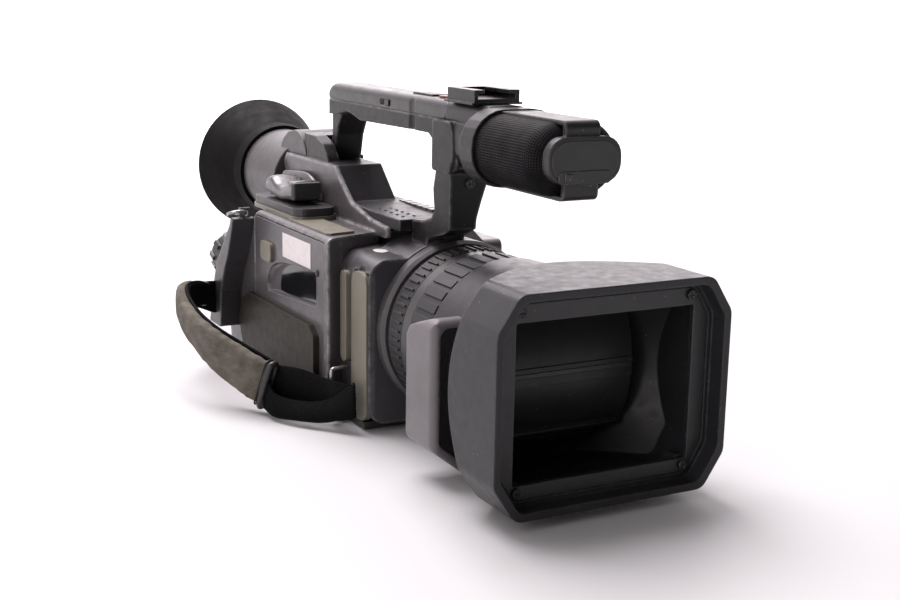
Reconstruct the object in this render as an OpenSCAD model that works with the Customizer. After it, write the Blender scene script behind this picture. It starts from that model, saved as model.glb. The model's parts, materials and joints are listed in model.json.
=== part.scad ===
/* [Lens and hood] */
// Height of the lens axis above the base plate
lens_z = 49.3; // [49:0.1:50]
// Width of the lens hood
hood_w = 110; // [108:1:112]
// Height of the lens hood
hood_h = 90; // [89:0.5:91]
// Distance from the tripod socket forward to the hood's front rim
hood_front = 165; // [164:0.5:168]
// Width of the flat corners of the hood, seen from the front
hood_corner_w = 10; // [9:0.5:12]
// Height of the flat corners of the hood
hood_corner_h = 15; // [13:0.5:16]
// Radius of the focus ring over its rubber
focus_r = 39.6; // [39.2:0.1:39.8]

/* [Body] */
// Distance from the lens axis out to the cassette lid
grip_x = 52.8; // [52.4:0.1:53]
// Distance from the lens axis out to the display side of the casing
side_x = 44; // [43.5:0.1:44.5]
// Distance from the tripod socket back to the rear panel
body_rear = 150; // [150:0.5:152]
// Height of the grip casing
grip_top = 88.9; // [88.6:0.1:89]

/* [Handle, microphone and viewfinder] */
// Height of the top of the carrying handle
handle_z = 156.5; // [156:0.5:157]
// Width of the carrying handle
handle_w = 20; // [19:0.5:20.5]
// Distance from the tripod socket forward to the front of the microphone
mic_front = 141.5; // [140.5:0.5:142.5]
// Height of the microphone's axis
mic_z = 139.6; // [139.2:0.1:139.8]
// Distance from the tripod socket back to the rim of the eyecup
eyecup_rear = 223; // [221:1:225]
// Radius of the eyecup's rim
eyecup_r = 39.6; // [38:0.2:40]

/* [Display] */
// Length of the folding display panel
lcd_len = 86; // [82:1:88]
// Height of the folding display panel
lcd_h = 62; // [58:1:64]

/* [Hidden] */
$fn = 48;
gap = 0.15;             // clearance between neighbouring casings
wall = 2.2;             // casing wall thickness
edge_fn = 24;           // fineness of small rounded corners
pin_r = 1.5;            // radius of the small hinge pins
pin_fit = 0.05;         // radial running clearance of the small hinges

base_t = 3.5;           // thickness of the base plate
block_front = -28;      // front face of the block around the barrel
block_x = -44;          // side faces and top of that block
block_x1 = 41;
block_z = 82.5;
hump_r = 41;            // rounded top of the block over the barrel
flange_slant = 20;      // slant of the grip's front flange, in degrees
deck_z = 98;            // deck under the handle
deck_x0 = -20.8;
deck_x1 = 12;
hump_z = 115.5;         // raised rear part of the deck
top_x = (deck_x0 + deck_x1) / 2;    // centre line of handle, microphone and viewfinder
vf_pivot_y = 122;       // pivot, drum and tube of the viewfinder
vf_pivot_z = 112;
vf_drum_r = 16.4;
vf_tube_y = 133.2;
vf_tube_z = 98;
vf_tube_r = 25;
cup_y = 188;
ring_r = 37.6;          // radius of the lens barrel under its rings
mask_y = -157;          // front face of the hood's mask
mask_screws = [40.2, 36.2];     // its screws, out from the lens axis in x and z
door_hinge_y = -119.5;  // shutter doors behind the mask
door_h = 26.2;
door_w = 68;
door_bulge = 7.5;
lever_y = -142;
split_z = handle_z - 8.4;           // joint between the two handle shells
bow_front = -55.8;      // front of the handle above its post
post_front = -50;       // front and rear face of the handle's front post
post_rear = -35.8;
handle_rear = 88;
hump_x1 = 4;            // right side of the hump
mic_w = 42;             // width and height of the microphone
mic_h = 30;
ring_y0 = -91.5;        // front and rear of the ring that holds it
ring_y1 = -81;
eyelet_x = -61.4;       // eyelet for a shoulder strap
eyelet_z = 86.6;
eyelet_r = 4.6;
loop_x = -53.6;         // wire loop at the front end of the hand strap
loop_y = -6;
loop_z0 = 5.6;
loop_z1 = 26.6;
lid_y0 = 4.2;           // outline and thickness of the cassette lid
lid_y1 = 99.5;
lid_z0 = 6.5;
lid_z1 = 86.4;
lid_t = 2.4;
lid_pin_x = -grip_x + lid_t + 1.2;
lid_pin_z = 10.5;
carrier_z0 = 18.5;
drum_x0 = -28;          // head drum
drum_x1 = -13;
drum_y = 53;
drum_z = 44;
tape_w = 66;            // small video cassette
tape_h = 48;
tape_t = 12.2;
dial_x = -49;           // mode dial on the sloping rear face of the grip
dial_y = 131.5;
dial_z = 53;
dial_r = 13.5;
dial_h = 14;
dial_tilt = 23.5;
post_screw_z = 119.4;   // screw in the front of the handle's post
plinth_h = 2.2;         // plinth, zoom rocker and photo button on top of the grip
zoom_x = -36.2;
rocker_y = 86;
photo_x = -35.2;
photo_y = 112.3;
lcd_y0 = 22;            // folding display
lcd_z = 47;
lcd_pin_y = 17;
battery_z0 = 8;
battery_h = 51;

// ---- helpers -------------------------------------------------------------------------------

// Block between two opposite corners.
module block(x0, x1, y0, y1, z0, z1) {
    translate([x0, y0, z0])
        cube([x1 - x0, y1 - y0, z1 - z0]);
}

// Rounded rectangle centred on the origin.
module rounded(w, h, r) {
    offset(r, $fn = edge_fn)
        square([w - 2 * r, h - 2 * r], center = true);
}

// Outline in x and z, carried from y0 to y1.
module along_y(y0, y1) {
    translate([0, y1, 0])
        rotate([90, 0, 0])
            linear_extrude(y1 - y0)
                children();
}

// Outline in y and z, carried from x0 to x1.
module along_x(x0, x1) {
    translate([x0, 0, 0])
        rotate([90, 0, 90])
            linear_extrude(x1 - x0)
                children();
}

// Round bar about an axis parallel to the lens.
module bar_y(r, y0, y1, x = 0, z = lens_z) {
    translate([x, y1, z])
        rotate([90, 0, 0])
            cylinder(r = r, h = y1 - y0);
}

// Round bar across the body.
module bar_x(r, x0, x1, y, z) {
    translate([x0, y, z])
        rotate([0, 90, 0])
            cylinder(r = r, h = x1 - x0);
}

// Outline of radius against y, spun about the lens axis; its points are [radius, y].
module spun(points, z = lens_z) {
    translate([0, 0, z])
        rotate([-90, 0, 0])
            rotate_extrude($fn = 96)
                polygon(points);
}

// Front face of the hood: a rectangle with four flat corners, drawn in by an inset.
module hood_outline(inset = 0) {
    w = hood_w / 2 - inset;
    h = hood_h / 2 - inset;
    cw = hood_corner_w - 0.4 * inset;
    ch = hood_corner_h - 0.4 * inset;
    translate([0, lens_z])
        offset(6, $fn = edge_fn)
            offset(-6)
                polygon([
                    [-w, -h + ch], [-w + cw, -h], [w - cw, -h], [w, -h + ch],
                    [w, h - ch], [w - cw, h], [-w + cw, h], [-w, h - ch]
                ]);
}

// ---- casings -------------------------------------------------------------------------------

// Gate between the cassette bay and the tape mechanism.
module tape_gate(x0, x1) {
    block(x0, x1, 30, 90, 12, 78);
}

// Side profile of the grip casing, in y and z.
grip_profile = [
    [0, base_t + gap], [140, base_t + gap], [143, 20], [137, 38], [129, 56], [105, 80],
    [97, grip_top], [0, grip_top]
];

// Cross-section of the display side of the casing, in x and z, drawn in by an inset.
module shell_section(inset) {
    slope = 12;
    polygon([
        [deck_x0 + inset, -1], [side_x - inset, -1], [side_x - inset, 88 - slope - 0.4 * inset],
        [side_x - slope - 0.4 * inset, 88 - inset], [deck_x0 + inset, 88 - inset]
    ]);
}

module main_shell() {
    x0 = deck_x0;
    y0 = 16;
    step_y = vf_tube_y - 1.4;
    profile = [
        [y0, base_t + gap], [body_rear - 4, base_t + gap], [body_rear - 4, 72], [step_y, 72],
        [step_y, 88], [y0, 88]
    ];
    color("dimgray")
        difference() {
            intersection() {
                along_x(x0, side_x)
                    polygon(profile);
                along_y(y0 - 1, body_rear)
                    shell_section(0);
            }
            // hollow, open underneath and towards the rear panel
            along_y(y0 + wall, step_y - wall)
                shell_section(wall);
            block(x0 + wall, side_x - wall, step_y - 10, body_rear, 0, 72 - wall);
            // opening for the rear of the lens barrel
            bar_y(21, y0 - 1, y0 + wall + 1);
            // seat of the display's knuckle
            block(side_x - 6, side_x + 1, lcd_pin_y - 5, lcd_y0 + 3, lcd_z - 15, lcd_z + 15);
            tape_gate(x0 - 1, x0 + wall + 1);
        }
    // post and pin that carry the head drum
    color("silver") {
        bar_x(5, drum_x1 + 0.2, side_x - wall + 0.1, drum_y, drum_z);
        bar_x(2, drum_x0 - 0.2, drum_x1 + 0.3, drum_y, drum_z);
    }
    // lugs that hold the display's hinge pin
    for (z = [lcd_z - 20, lcd_z + 15])
        color("dimgray")
            difference() {
                block(side_x + 0.01 - wall, side_x + 8.3, lcd_pin_y - 3.4, lcd_pin_y + 3.4, z, z + 5);
                translate([side_x + 5, lcd_pin_y, z - 1])
                    cylinder(r = pin_r + pin_fit, h = 7);
            }
}

module grip_shell() {
    x1 = deck_x0 - 0.2;
    slant = tan(flange_slant);
    color("gray") {
        difference() {
            intersection() {
                union() {
                    along_x(-grip_x, x1)
                        polygon(grip_profile);
                    // ridge that rises round the hump
                    along_x(x1 - 2.3, x1)
                        offset(2, $fn = edge_fn)
                            offset(-2)
                                polygon([
                                    [10, grip_top - 4], [10, 93], [40, 99.5], [62, 115.4], [128, 115.4],
                                    [132, 110], [118, 88], [100, grip_top - 4]
                                ]);
                }
                // rounded upper edge on the grip side
                along_y(-1, 150)
                    offset(3.5, $fn = edge_fn)
                        offset(-3.5)
                            polygon([
                                [-grip_x, -9], [-grip_x, grip_top], [x1 - 4.3, grip_top], [x1 - 2.3, 125],
                                [20, 125], [20, -9]
                            ]);
            }
            // slanting front face of the flange
            translate([-grip_x, 0, -1])
                linear_extrude(100)
                    polygon([[-1, -1], [40, -1], [40, 40 * slant], [0, 0], [-1, 0]]);
            // bay of the cassette, open towards the lid
            block(-grip_x - 1, x1 - wall, 16, lid_y1 - 3, lid_z0 - 0.2, 86.6);
            // seat of the lid, with room for its lower edge to swing inwards
            along_x(-grip_x - 1, -grip_x + lid_t + 0.2)
                lid_outline(gap);
            block(-grip_x - 1, -45, lid_y0 - gap, 17, lid_z0 - 1.3, lid_z1 + gap);
            block(-grip_x - 1, -45, 16, lid_y1 + gap, lid_z0 - 1.3, 16);
            // rear pocket behind the grip
            block(-grip_x + wall, x1 - wall, 103, 127, 8, 55);
            // bore of the mode dial
            translate([dial_x, dial_y, dial_z])
                rotate([-90 + dial_tilt, 0, 0])
                    translate([0, 0, -9])
                        cylinder(r = 3.05, h = 20);
            tape_gate(x1 - wall - 1, x1 + 1);
            // bearings of the lid's hinge pin
            bar_y(pin_r + pin_fit, 2.2, 102.2, lid_pin_x, lid_pin_z);
        }
        // the ridge runs on along the deck, over the front block
        along_x(x1 - 2.3, x1)
            offset(2, $fn = edge_fn)
                offset(-2)
                    polygon([[-3, 87.7], [-3, 93], [16, 94.3], [16, 87.7]]);
    }
}

// Front view of the block around the barrel, in x and z, drawn in by an inset.
module block_outline(inset, r) {
    slope = 20;
    offset(r)
        offset(-r - inset)
            polygon([
                [block_x, base_t + gap], [block_x1, base_t + gap], [block_x1, block_z - slope],
                [block_x1 - slope, block_z], [block_x, block_z]
            ]);
}

module front_block() {
    slant = tan(flange_slant);
    color("darkslategray")
        difference() {
            union() {
                along_y(block_front, 15.5)
                    block_outline(0, 9);
                bar_y(hump_r, block_front, 1.5);
            }
            // cut away behind the slanting flange of the grip
            translate([-grip_x, 0, -1])
                linear_extrude(100)
                    polygon([[-1, -0.2], [0, -0.2], [34, 34 * slant - 0.2], [34, 60], [-1, 60]]);
            // hollow, open underneath and behind
            along_y(block_front + 2.5, 20)
                block_outline(wall + 0.3, 6);
            block(-30, 30, block_front + 2.5, 20, -1, 20);
            // seat of the lens barrel
            bar_y(ring_r + 0.1, block_front - 1, 3);
            // flat bottom above the base plate
            block(-60, 60, -60, 60, -20, base_t + gap);
            // seats of the two socket covers
            jack_seat(-27.2, -9.8, 4.4, 76.4);
            jack_seat(-7.6, -0.1, 29.8, 74.6);
            // finger notch above the wide cover
            bar_x(3.4, block_x - 1, block_x + 1.9, -18.5, 76.5);
        }
}

// Pocket in the side of the front block for a socket cover.
module jack_seat(y0, y1, z0, z1) {
    block(block_x - 1, block_x + 2.3, y0, y1, z0, z1);
}

module base_plate() {
    color("darkslategray")
        difference() {
            translate([(-grip_x + side_x) / 2 + 1, 62, 0])
                linear_extrude(base_t)
                    rounded(side_x + grip_x - 6, 168, 8);
            // step beside the front block
            block(-60, block_x + 0.5, -30, 3, -1, base_t + 1);
            // round seat of the tripod bush and the hole for a camera plate's guide pin
            translate([0, 0, -1])
                cylinder(r = 8, h = base_t + 2);
            translate([0, 13.5, -1])
                cylinder(r = 2.4, h = base_t + 2);
        }
}

module tripod_bush() {
    color("silver")
        difference() {
            union() {
                cylinder(r = 7.95, h = 11);
                translate([0, 0, base_t + 0.1])
                    cylinder(r = 11, h = 2.5);
            }
            translate([0, 0, -1])
                cylinder(r = 3.175, h = 10);
        }
}

module top_deck() {
    key_x = deck_x1 - 7.8;
    color("dimgray")
        difference() {
            union() {
                // deck under the handle
                along_x(deck_x0, deck_x1)
                    polygon([
                        [-12, 92.6], [5, 92.6], [18, 88.2], [131, 88.2], [131, deck_z], [-12, deck_z]
                    ]);
                // hump between the handle's rear post and the viewfinder
                along_x(deck_x0, hump_x1)
                    polygon([
                        [20, deck_z - 1], [20, deck_z], [44, deck_z + 1], [62, hump_z], [112, hump_z],
                        [112, deck_z - 1]
                    ]);
                along_x(deck_x0, deck_x1)
                    polygon([
                        [102, deck_z - 1], [102, hump_z], [112, hump_z], [131, 108], [131, deck_z - 1]
                    ]);
                // dome in front of the viewfinder, beside the handle's rear post
                difference() {
                    along_x(deck_x0 + 0.6, hump_x1 - 1)
                        difference() {
                            offset(6, $fn = edge_fn)
                                offset(-6)
                                    polygon([
                                        [76, 106], [76, 117], [84, 124.5], [94, 127.8], [126, 128.2],
                                        [126, 106]
                                    ]);
                            // clear of the viewfinder's arm when it swings up
                            polygon([
                                [109.8, 130], [107.6, 124], [105.2, 119.5], [105.2, 100],
                                [130, 100], [130, 130]
                            ]);
                        }
                    block(top_x - 9.2, 20, 70, 95.4, hump_z, 130);
                }
                // rows of small studs on the deck
                for (x = [deck_x0 + 6, deck_x0 + 12])
                    for (i = [0 : 4])
                        translate([x, -3 + 6.5 * i, deck_z - 0.1])
                            cylinder(r = 0.8, h = 0.5, $fn = 12);
                // cheek that carries the viewfinder's pivot on the far side
                bar_x(10.3, deck_x1 - 3, deck_x1, vf_pivot_y, vf_pivot_z);
            }
            // bed of the viewfinder's drum
            bar_x(vf_drum_r + 0.3, deck_x0 - 1, deck_x1 - 3, vf_pivot_y, vf_pivot_z);
            block(deck_x0 - 1, deck_x1 - 3, vf_pivot_y, 140, 92, 130);
            // seat of the keys along the far edge
            block(key_x, key_x + 6, 3.8, 42.2, deck_z - 2.4, deck_z + 3);
            // hollow under the hump
            block(deck_x0 + 3, hump_x1 - 3, 72, 100, 87, 110);
        }
    // pivot pin of the viewfinder
    color("silver")
        bar_x(pin_r + 1, deck_x1 - 10, deck_x1 - 1, vf_pivot_y, vf_pivot_z);
}

// Plan of the seat for the zoom control, in x and y, grown by a margin.
module zoom_outline(margin) {
    translate([zoom_x, 84.5])
        rounded(23 + 2 * margin, 65 + 2 * margin, 7 + margin);
}

module top_plate() {
    color("darkkhaki")
        translate([0, 0, grip_top + 0.02]) {
            linear_extrude(1.1)
                polygon([
                    [-47.5, 8.5], [-34, 11], [-34, 58.5], [-36, 61], [-47, 61], [-49, 59], [-49, 10.5]
                ]);
            // plinth under the zoom control
            linear_extrude(plinth_h)
                zoom_outline(0.9);
        }
}

module strap_frame() {
    color("dimgray")
        difference() {
            union() {
                along_x(-65, -grip_x - 0.05)
                    offset(1, $fn = edge_fn)
                        offset(-1)
                            polygon([
                                [124, 20], [142.5, 20], [136.8, 38], [128.8, 56], [105.6, 80.3],
                                [103.4, 85], [100.2, 84], [105, 73], [110, 63], [116, 54], [122.5, 41]
                            ]);
                // lug of the shoulder-strap eyelet
                block(-60, -54, 103, 105, 78, 89.6);
            }
            bar_y(1.7, 102, 106, eyelet_x + eyelet_r, eyelet_z);
            // passage for the webbing
            block(-62, -57.5, 126, 150, 21.8, 46.2);
        }
}

module rear_panel() {
    color("dimgray")
        difference() {
            union() {
                block(-20, side_x, body_rear - 3.8, body_rear - 1.2, base_t + gap, 71.8);
                // rails that the battery slides onto
                for (x = [-14, 26])
                    block(x, x + 3, body_rear - 1.3, body_rear + 1, 12, 52);
            }
            block(-6, 20, body_rear - 5, body_rear + 1, 61, 66.2);
        }
}

// ---- handle and microphone -----------------------------------------------------------------

// Moves the handle, the microphone and the viewfinder onto their own centre line.
module on_top_line() {
    translate([top_x, 0, 0])
        children();
}

// Cross-section of the handle in x and z, rounded on top, about its centre line.
module handle_section(z0) {
    offset(3.5, $fn = edge_fn)
        offset(-3.5)
            translate([-handle_w / 2, z0 - 9])
                square([handle_w, handle_z - z0 + 9]);
}

// Shallow waist in the side of the handle for a fingertip.
module handle_waist() {
    translate([-handle_w / 2 - 5, -11, 136])
        cylinder(r = 6, h = 30);
}

module handle_lower() {
    side = handle_w / 2;
    on_top_line()
        color("dimgray") {
            difference() {
                union() {
                    // bow of the handle with its front post
                    along_x(-side, side)
                        polygon([
                            [bow_front, split_z], [handle_rear, split_z], [handle_rear, 140], [76.4, 140.9],
                            [66, 143], [60, 142.5], [48, 139.8], [-12, 140.6], [-28, 140.6], [-34, 137],
                            [post_rear, 129], [post_rear, 124], [post_rear + 2.2, 115.7],
                            [post_rear + 1.2, 109], [post_rear + 0.6, 106], [-32, 101.6], [-25, 99.4],
                            [-14, 98.2], [-12.3, 98], [-12.3, 86], [-27.7, 86], [-27.7, 91.4], [-44, 95.6],
                            [post_front, 98.5], [post_front, 124], [bow_front, 127]
                        ]);
                    // rear post on the hump
                    along_x(-8, 8)
                        polygon([
                            [87, hump_z + gap], [94.6, hump_z + gap], [89, 122], [handle_rear, 129],
                            [handle_rear, 142], [70, 142], [76.4, 140.9], [83.5, 129]
                        ]);
                }
                // saddle over the rounded top of the block
                translate([-top_x, 0, 0])
                    bar_y(hump_r + gap, block_front, 3);
                // far side of the front post, drawn in towards its foot
                along_y(bow_front - 1, post_rear + 5)
                    polygon([
                        [side + 1, 121], [side - 1, 119], [6, 110], [4, 103], [3, 90], [side + 1, 90]
                    ]);
                // screw hole in the front post
                bar_y(1.5, post_front - 1, post_front + 8, 0, post_screw_z);
                handle_waist();
            }
            // cover over the cables on the grip side
            along_x(-side - 2.2, -side + 0.1)
                offset(2, $fn = edge_fn)
                    offset(-2)
                        polygon([
                            [post_rear, 124.8], [post_rear, 147.9], [-52.5, 147.9], [-55, 143],
                            [bow_front, 137], [-55, 130], [-52, 124.2]
                        ]);
        }
}

module handle_upper() {
    on_top_line()
        color("gray")
            difference() {
                intersection() {
                    along_x(-handle_w / 2, handle_w / 2)
                        offset(2, $fn = edge_fn)
                            offset(-2)
                                polygon([
                                    [-44.6, split_z + gap], [handle_rear, split_z + gap],
                                    [handle_rear, handle_z - 5], [handle_rear - 5, handle_z],
                                    [-44.6, handle_z]
                                ]);
                    along_y(-60, 100)
                        handle_section(split_z);
                }
                // seats of the record button and the small rocker
                translate([0, -30, handle_z - 4])
                    cylinder(r = 5.2, h = 6);
                block(-4.2, 4.2, -20.2, 0.2, handle_z - 3, handle_z + 1);
                // pocket of the sliding switch
                block(-handle_w / 2 - 1, -handle_w / 2 + 1.6, 12.5, 25, handle_z - 6.8, handle_z - 3.9);
                handle_waist();
            }
}

module accessory_shoe() {
    z0 = handle_z + 1;
    y0 = -73;
    on_top_line()
        color("silver")
            difference() {
                union() {
                    block(-11.25, 11.25, y0, y0 + 24.5, z0 - 0.5, z0 + 5.4);
                    // foot that spreads over the microphone's holder
                    block(-12.6, 12.6, y0 - 0.5, y0 + 25, handle_z + 0.1, z0);
                }
                // channel and mouth of the shoe
                block(-9.35, 9.35, y0 - 1, y0 + 22.5, z0 + 1.5, z0 + 3.7);
                block(-6.3, 6.3, y0 - 1, y0 + 22.5, z0 + 1.5, z0 + 6);
            }
}

// Oval across the microphone, drawn in or out by a margin.
module mic_oval(margin = 0) {
    translate([top_x, mic_z])
        rounded(mic_w + 2 * margin, mic_h + 2 * margin, 14 + margin);
}

module mic_holder() {
    color("dimgray")
        difference() {
            union() {
                along_y(ring_y0, ring_y1)
                    mic_oval(1.5);
                // neck between the handle and the ring
                along_y(ring_y1 - 1, bow_front - 0.15)
                    translate([top_x, mic_z])
                        rounded(23, 23, 8);
                // block that closes the top of the handle and carries the shoe
                on_top_line()
                    along_y(ring_y1, -44.8)
                        intersection() {
                            handle_section(split_z);
                            translate([-20, split_z + gap])
                                square([40, 20]);
                        }
            }
            along_y(ring_y0 - 1, ring_y1 - 2.5)
                mic_oval(0.3);
            // duct of the microphone's leads
            bar_y(5, ring_y1 - 3, bow_front + 1, top_x, mic_z);
        }
}

module mic_grille() {
    color("black")
        difference() {
            along_y(-mic_front + 3, ring_y1 - 2.7)
                mic_oval(0);
            along_y(-mic_front + 5, ring_y1)
                mic_oval(-1.2);
            // grooves for the frame's top and bottom strips
            on_top_line()
                for (s = [-1, 1])
                    translate([0, 0, mic_z + s * (mic_h / 2 + 1.7)])
                        block(-8.2, 8.2, -mic_front - 4, ring_y0 + 0.2, -2.7, 2.7);
        }
}

// Side view of a block along the microphone from y0 to y1, reaching half above and below its axis.
module strip_section(y0, y1, half) {
    translate([y0, mic_z - half])
        square([y1 - y0, 2 * half]);
}

module mic_frame() {
    on_top_line()
        color("dimgray")
            union() {
                // strap along the top, down the front and back along the underside
                along_x(-8, 8)
                    difference() {
                        offset(3, $fn = edge_fn)
                            offset(-3)
                                strip_section(-mic_front + 0.6, ring_y0 + 10, mic_h / 2 + 0.9);
                        strip_section(-mic_front + 2.8, ring_y0 + 11, mic_h / 2 - 0.9);
                        strip_section(ring_y0 - 0.1, ring_y0 + 11, mic_h / 2 + 2);
                    }
                along_y(-mic_front - 1.6, -mic_front + 2.8)
                    translate([0, mic_z + 0.6])
                        rounded(34, 18.5, 8);
            }
}

module mic_capsules() {
    on_top_line() {
        color("gold")
            for (x = [-9, 9])
                bar_y(6, -mic_front + 8, -mic_front + 22, x, mic_z);
        color("dimgray")
            difference() {
                along_y(-mic_front + 12, -mic_front + 17)
                    translate([0, mic_z])
                        rounded(mic_w - 5, mic_h - 5, 10);
                for (x = [-9, 9])
                    bar_y(6, -mic_front + 11, -mic_front + 18, x, mic_z);
            }
    }
}

// ---- lens and hood -------------------------------------------------------------------------

module lens_barrel() {
    front = -92;
    color("gainsboro")
        spun([
            [30, front], [33.5, front], [36.4, -90], [36.4, -79], [38.9, -78.8], [38.9, -77.6],
            [ring_r - 1, -77.6], [ring_r - 1, -57.4], [38.4, -57.2], [38.6, -50.6], [ring_r - 1, -50.4],
            [ring_r - 1, -38.5], [38.4, -38.3], [38.4, -36.8], [ring_r, -36.8], [ring_r, -25],
            [35.5, -25], [35.5, 3], [20, 3], [20, 15.5], [17.5, 15.5], [17.5, 0.5], [33, 0.5],
            [33, -85], [30, -88]
        ]);
}

module lens_flange() {
    color("silver")
        spun([
            [ring_r + 0.1, -36.6], [39.8, -36.6], [41.2, -34.6], [41.2, -30.2], [40.4, -28.1],
            [ring_r + 0.1, -28.1]
        ]);
}

module lens_elements() {
    color("lightsteelblue") {
        // front element with a bulging face, then two inner groups
        translate([0, -83.2, lens_z])
            rotate([90, 0, 0])
                intersection() {
                    cylinder(r = 29.8, h = 9);
                    translate([0, 0, -50])
                        sphere(r = 58, $fn = 64);
                }
        bar_y(24, -62, -56);
        bar_y(18, -30, -18);
    }
    color("dimgray")
        for (y = [-62, -30])
            difference() {
                bar_y(32.8, y, y + 4);
                bar_y(y == -62 ? 24 : 18, y - 1, y + 5);
            }
}

module sensor_block() {
    color("lightsteelblue")
        block(-11, 11, 10, 32, lens_z - 11, lens_z + 11);
    color("darkgreen") {
        block(-14, 14, 32.1, 34, lens_z - 14, lens_z + 14);
        block(-11, 11, 12, 30, lens_z + 11.1, lens_z + 13);
        block(-11, 11, 12, 30, lens_z - 13, lens_z - 11.1);
    }
}

module zoom_ring() {
    color("dimgray")
        ribbed_ring(-50.2, -38.7, 38.6, 60, 1.1);
}

module focus_ring() {
    color("black")
        ribbed_ring(-77.3, -57.6, 38.7, 36, 4.2);
}

// Rubber-covered ring that turns on the barrel, with lands between its grooves.
module ribbed_ring(y0, y1, r, count, land) {
    difference() {
        bar_y(r, y0, y1, $fn = 96);
        bar_y(ring_r - 1 + pin_fit, y0 - 1, y1 + 1, $fn = 96);
    }
    difference() {
        for (i = [0 : count - 1])
            translate([0, 0, lens_z])
                rotate([0, i * 360 / count, 0])
                    block(-land / 2, land / 2, y0 + 1.2, y1 - 1.2, r - 0.8, r + focus_r - 38.7);
        bar_y(r - 0.5, y0, y1);
    }
}

module hood_shell() {
    color("dimgray")
        difference() {
            intersection() {
                along_y(-hood_front, -78)
                    hood_outline();
                spun([
                    [0, -hood_front - 1], [90, -hood_front - 1], [90, -168], [66, -140.5],
                    [55, -127], [45, -114.6], [43, -111], [42, -104], [40.8, -79.5], [0, -79.5]
                ]);
            }
            // deep front rim, then the chamber of the shutter
            along_y(-hood_front - 1, mask_y)
                hood_outline(3.2);
            intersection() {
                along_y(mask_y - 1, -110)
                    hood_outline(5.5);
                spun([
                    [0, -170], [90, -170], [62, -139.5], [51.5, -127], [41.5, -114.6], [40.4, -112],
                    [0, -112]
                ]);
            }
            // round opening towards the lens, and the collar's bore over the barrel
            bar_y(31.5, -113, -90);
            bar_y(36.5, -94, -78);
        }
    // bosses for the mask's screws
    color("dimgray")
        at_mask_screws()
            difference() {
                bar_y(3.6, mask_y + 2.7, mask_y + 9, 0, 0);
                bar_y(1.45, mask_y + 2, mask_y + 10, 0, 0);
            }
}

// Puts a copy at each of the mask's four screws.
module at_mask_screws() {
    for (sx = [-1, 1], sz = [-1, 1])
        translate([sx * mask_screws[0], 0, lens_z + sz * mask_screws[1]])
            children();
}

module hood_mask() {
    color("dimgray")
        difference() {
            along_y(mask_y + 0.1, mask_y + 2.6)
                hood_outline(5.7);
            along_y(mask_y - 1, mask_y + 4)
                translate([0, lens_z - 0.8])
                    rounded(84, 65.5, 1);
            at_mask_screws()
                bar_y(1.5, mask_y - 1, mask_y + 4, 0, 0);
        }
}

// Pan-head screw lying along y, head towards the front.
module screw_y(x, y, z) {
    difference() {
        union() {
            bar_y(2.2, y - 1.2, y, x, z);
            bar_y(1.4, y - 0.1, y + 5, x, z);
        }
        block(x - 0.3, x + 0.3, y - 2, y - 0.7, z - 1.5, z + 1.5);
        block(x - 1.5, x + 1.5, y - 2, y - 0.7, z - 0.3, z + 0.3);
    }
}

module casing_screws() {
    color("black") {
        at_mask_screws()
            screw_y(0, mask_y - 0.05, 0);
        screw_y(top_x, post_front - 0.05, post_screw_z);
    }
}

// Curved shutter door in y and z, above the axis (up = 1) or below it (up = -1).
module shutter_door(up) {
    r = (door_h * door_h + door_bulge * door_bulge) / (2 * door_bulge);
    difference() {
        union() {
            intersection() {
                difference() {
                    bar_x(r, -door_w / 2, door_w / 2, door_hinge_y - door_bulge + r, lens_z);
                    bar_x(r - 1.4, -40, 40, door_hinge_y - door_bulge + r, lens_z);
                }
                block(-door_w / 2, door_w / 2, -130, door_hinge_y + 1,
                    up > 0 ? lens_z + 0.1 : lens_z - door_h, up > 0 ? lens_z + door_h : lens_z - 0.1);
            }
            // hinge bead along the outer edge
            bar_x(1.6, -door_w / 2, door_w / 2, door_hinge_y, lens_z + up * door_h);
            // overlapping lip at the seam
            block(-door_w / 2, door_w / 2, -127.4, -126,
                up > 0 ? lens_z + 0.1 : lens_z - 4, up > 0 ? lens_z + 4 : lens_z - 0.1);
        }
    }
}

module shutter_upper() {
    color("dimgray")
        shutter_door(1);
}

module shutter_lower() {
    color("dimgray")
        shutter_door(-1);
}

module shutter_lever() {
    x0 = hood_w / 2 + 0.1;
    color("gray")
        union() {
            bar_x(5, x0, x0 + 2, lever_y, lens_z);
            block(x0, x0 + 2, lever_y - 3, lever_y + 3, lens_z, lens_z + 15);
            bar_x(3, x0, x0 + 3.5, lever_y, lens_z + 14);
        }
}

// Front view of the emitter beside the hood, in x and z, drawn in by an inset.
module emitter_outline(inset) {
    offset(4.5, $fn = edge_fn)
        offset(-4.5 - inset)
            polygon([
                [-51.5, 16.5], [-51.5, 69], [-49, 72], [-36, 72], [-30, 66], [-18, 11], [-26, 1.2],
                [-32, 1.2]
            ]);
}

module emitter_housing() {
    color("gray")
        difference() {
            intersection() {
                along_y(-107, -82)
                    emitter_outline(0);
                along_x(-60, -10)
                    offset(4, $fn = edge_fn)
                        offset(-4)
                            polygon([
                                [-107, 74], [-86, 66.5], [-82.5, 62], [-82.5, 17], [-88, 9], [-107, 0]
                            ]);
                // rounded front corner, seen from above
                linear_extrude(80)
                    offset(3.5, $fn = edge_fn)
                        offset(-3.5)
                            polygon([[-51.5, -107], [-51.5, -76], [-6, -76], [-6, -107]]);
            }
            // clear of the hood's collar
            spun([[0, -120], [60, -120], [44, -112], [42.4, -104], [41.2, -79], [0, -79]]);
            // recess of the window
            along_y(-108, -104.9)
                emitter_outline(3.4);
        }
}

module emitter_window() {
    color("black")
        difference() {
            along_y(-106.6, -105)
                emitter_outline(3.6);
            spun([[0, -120], [60, -120], [46.4, -112], [43.4, -104], [43, -79], [0, -79]]);
        }
}

// ---- cassette side -------------------------------------------------------------------------

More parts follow.
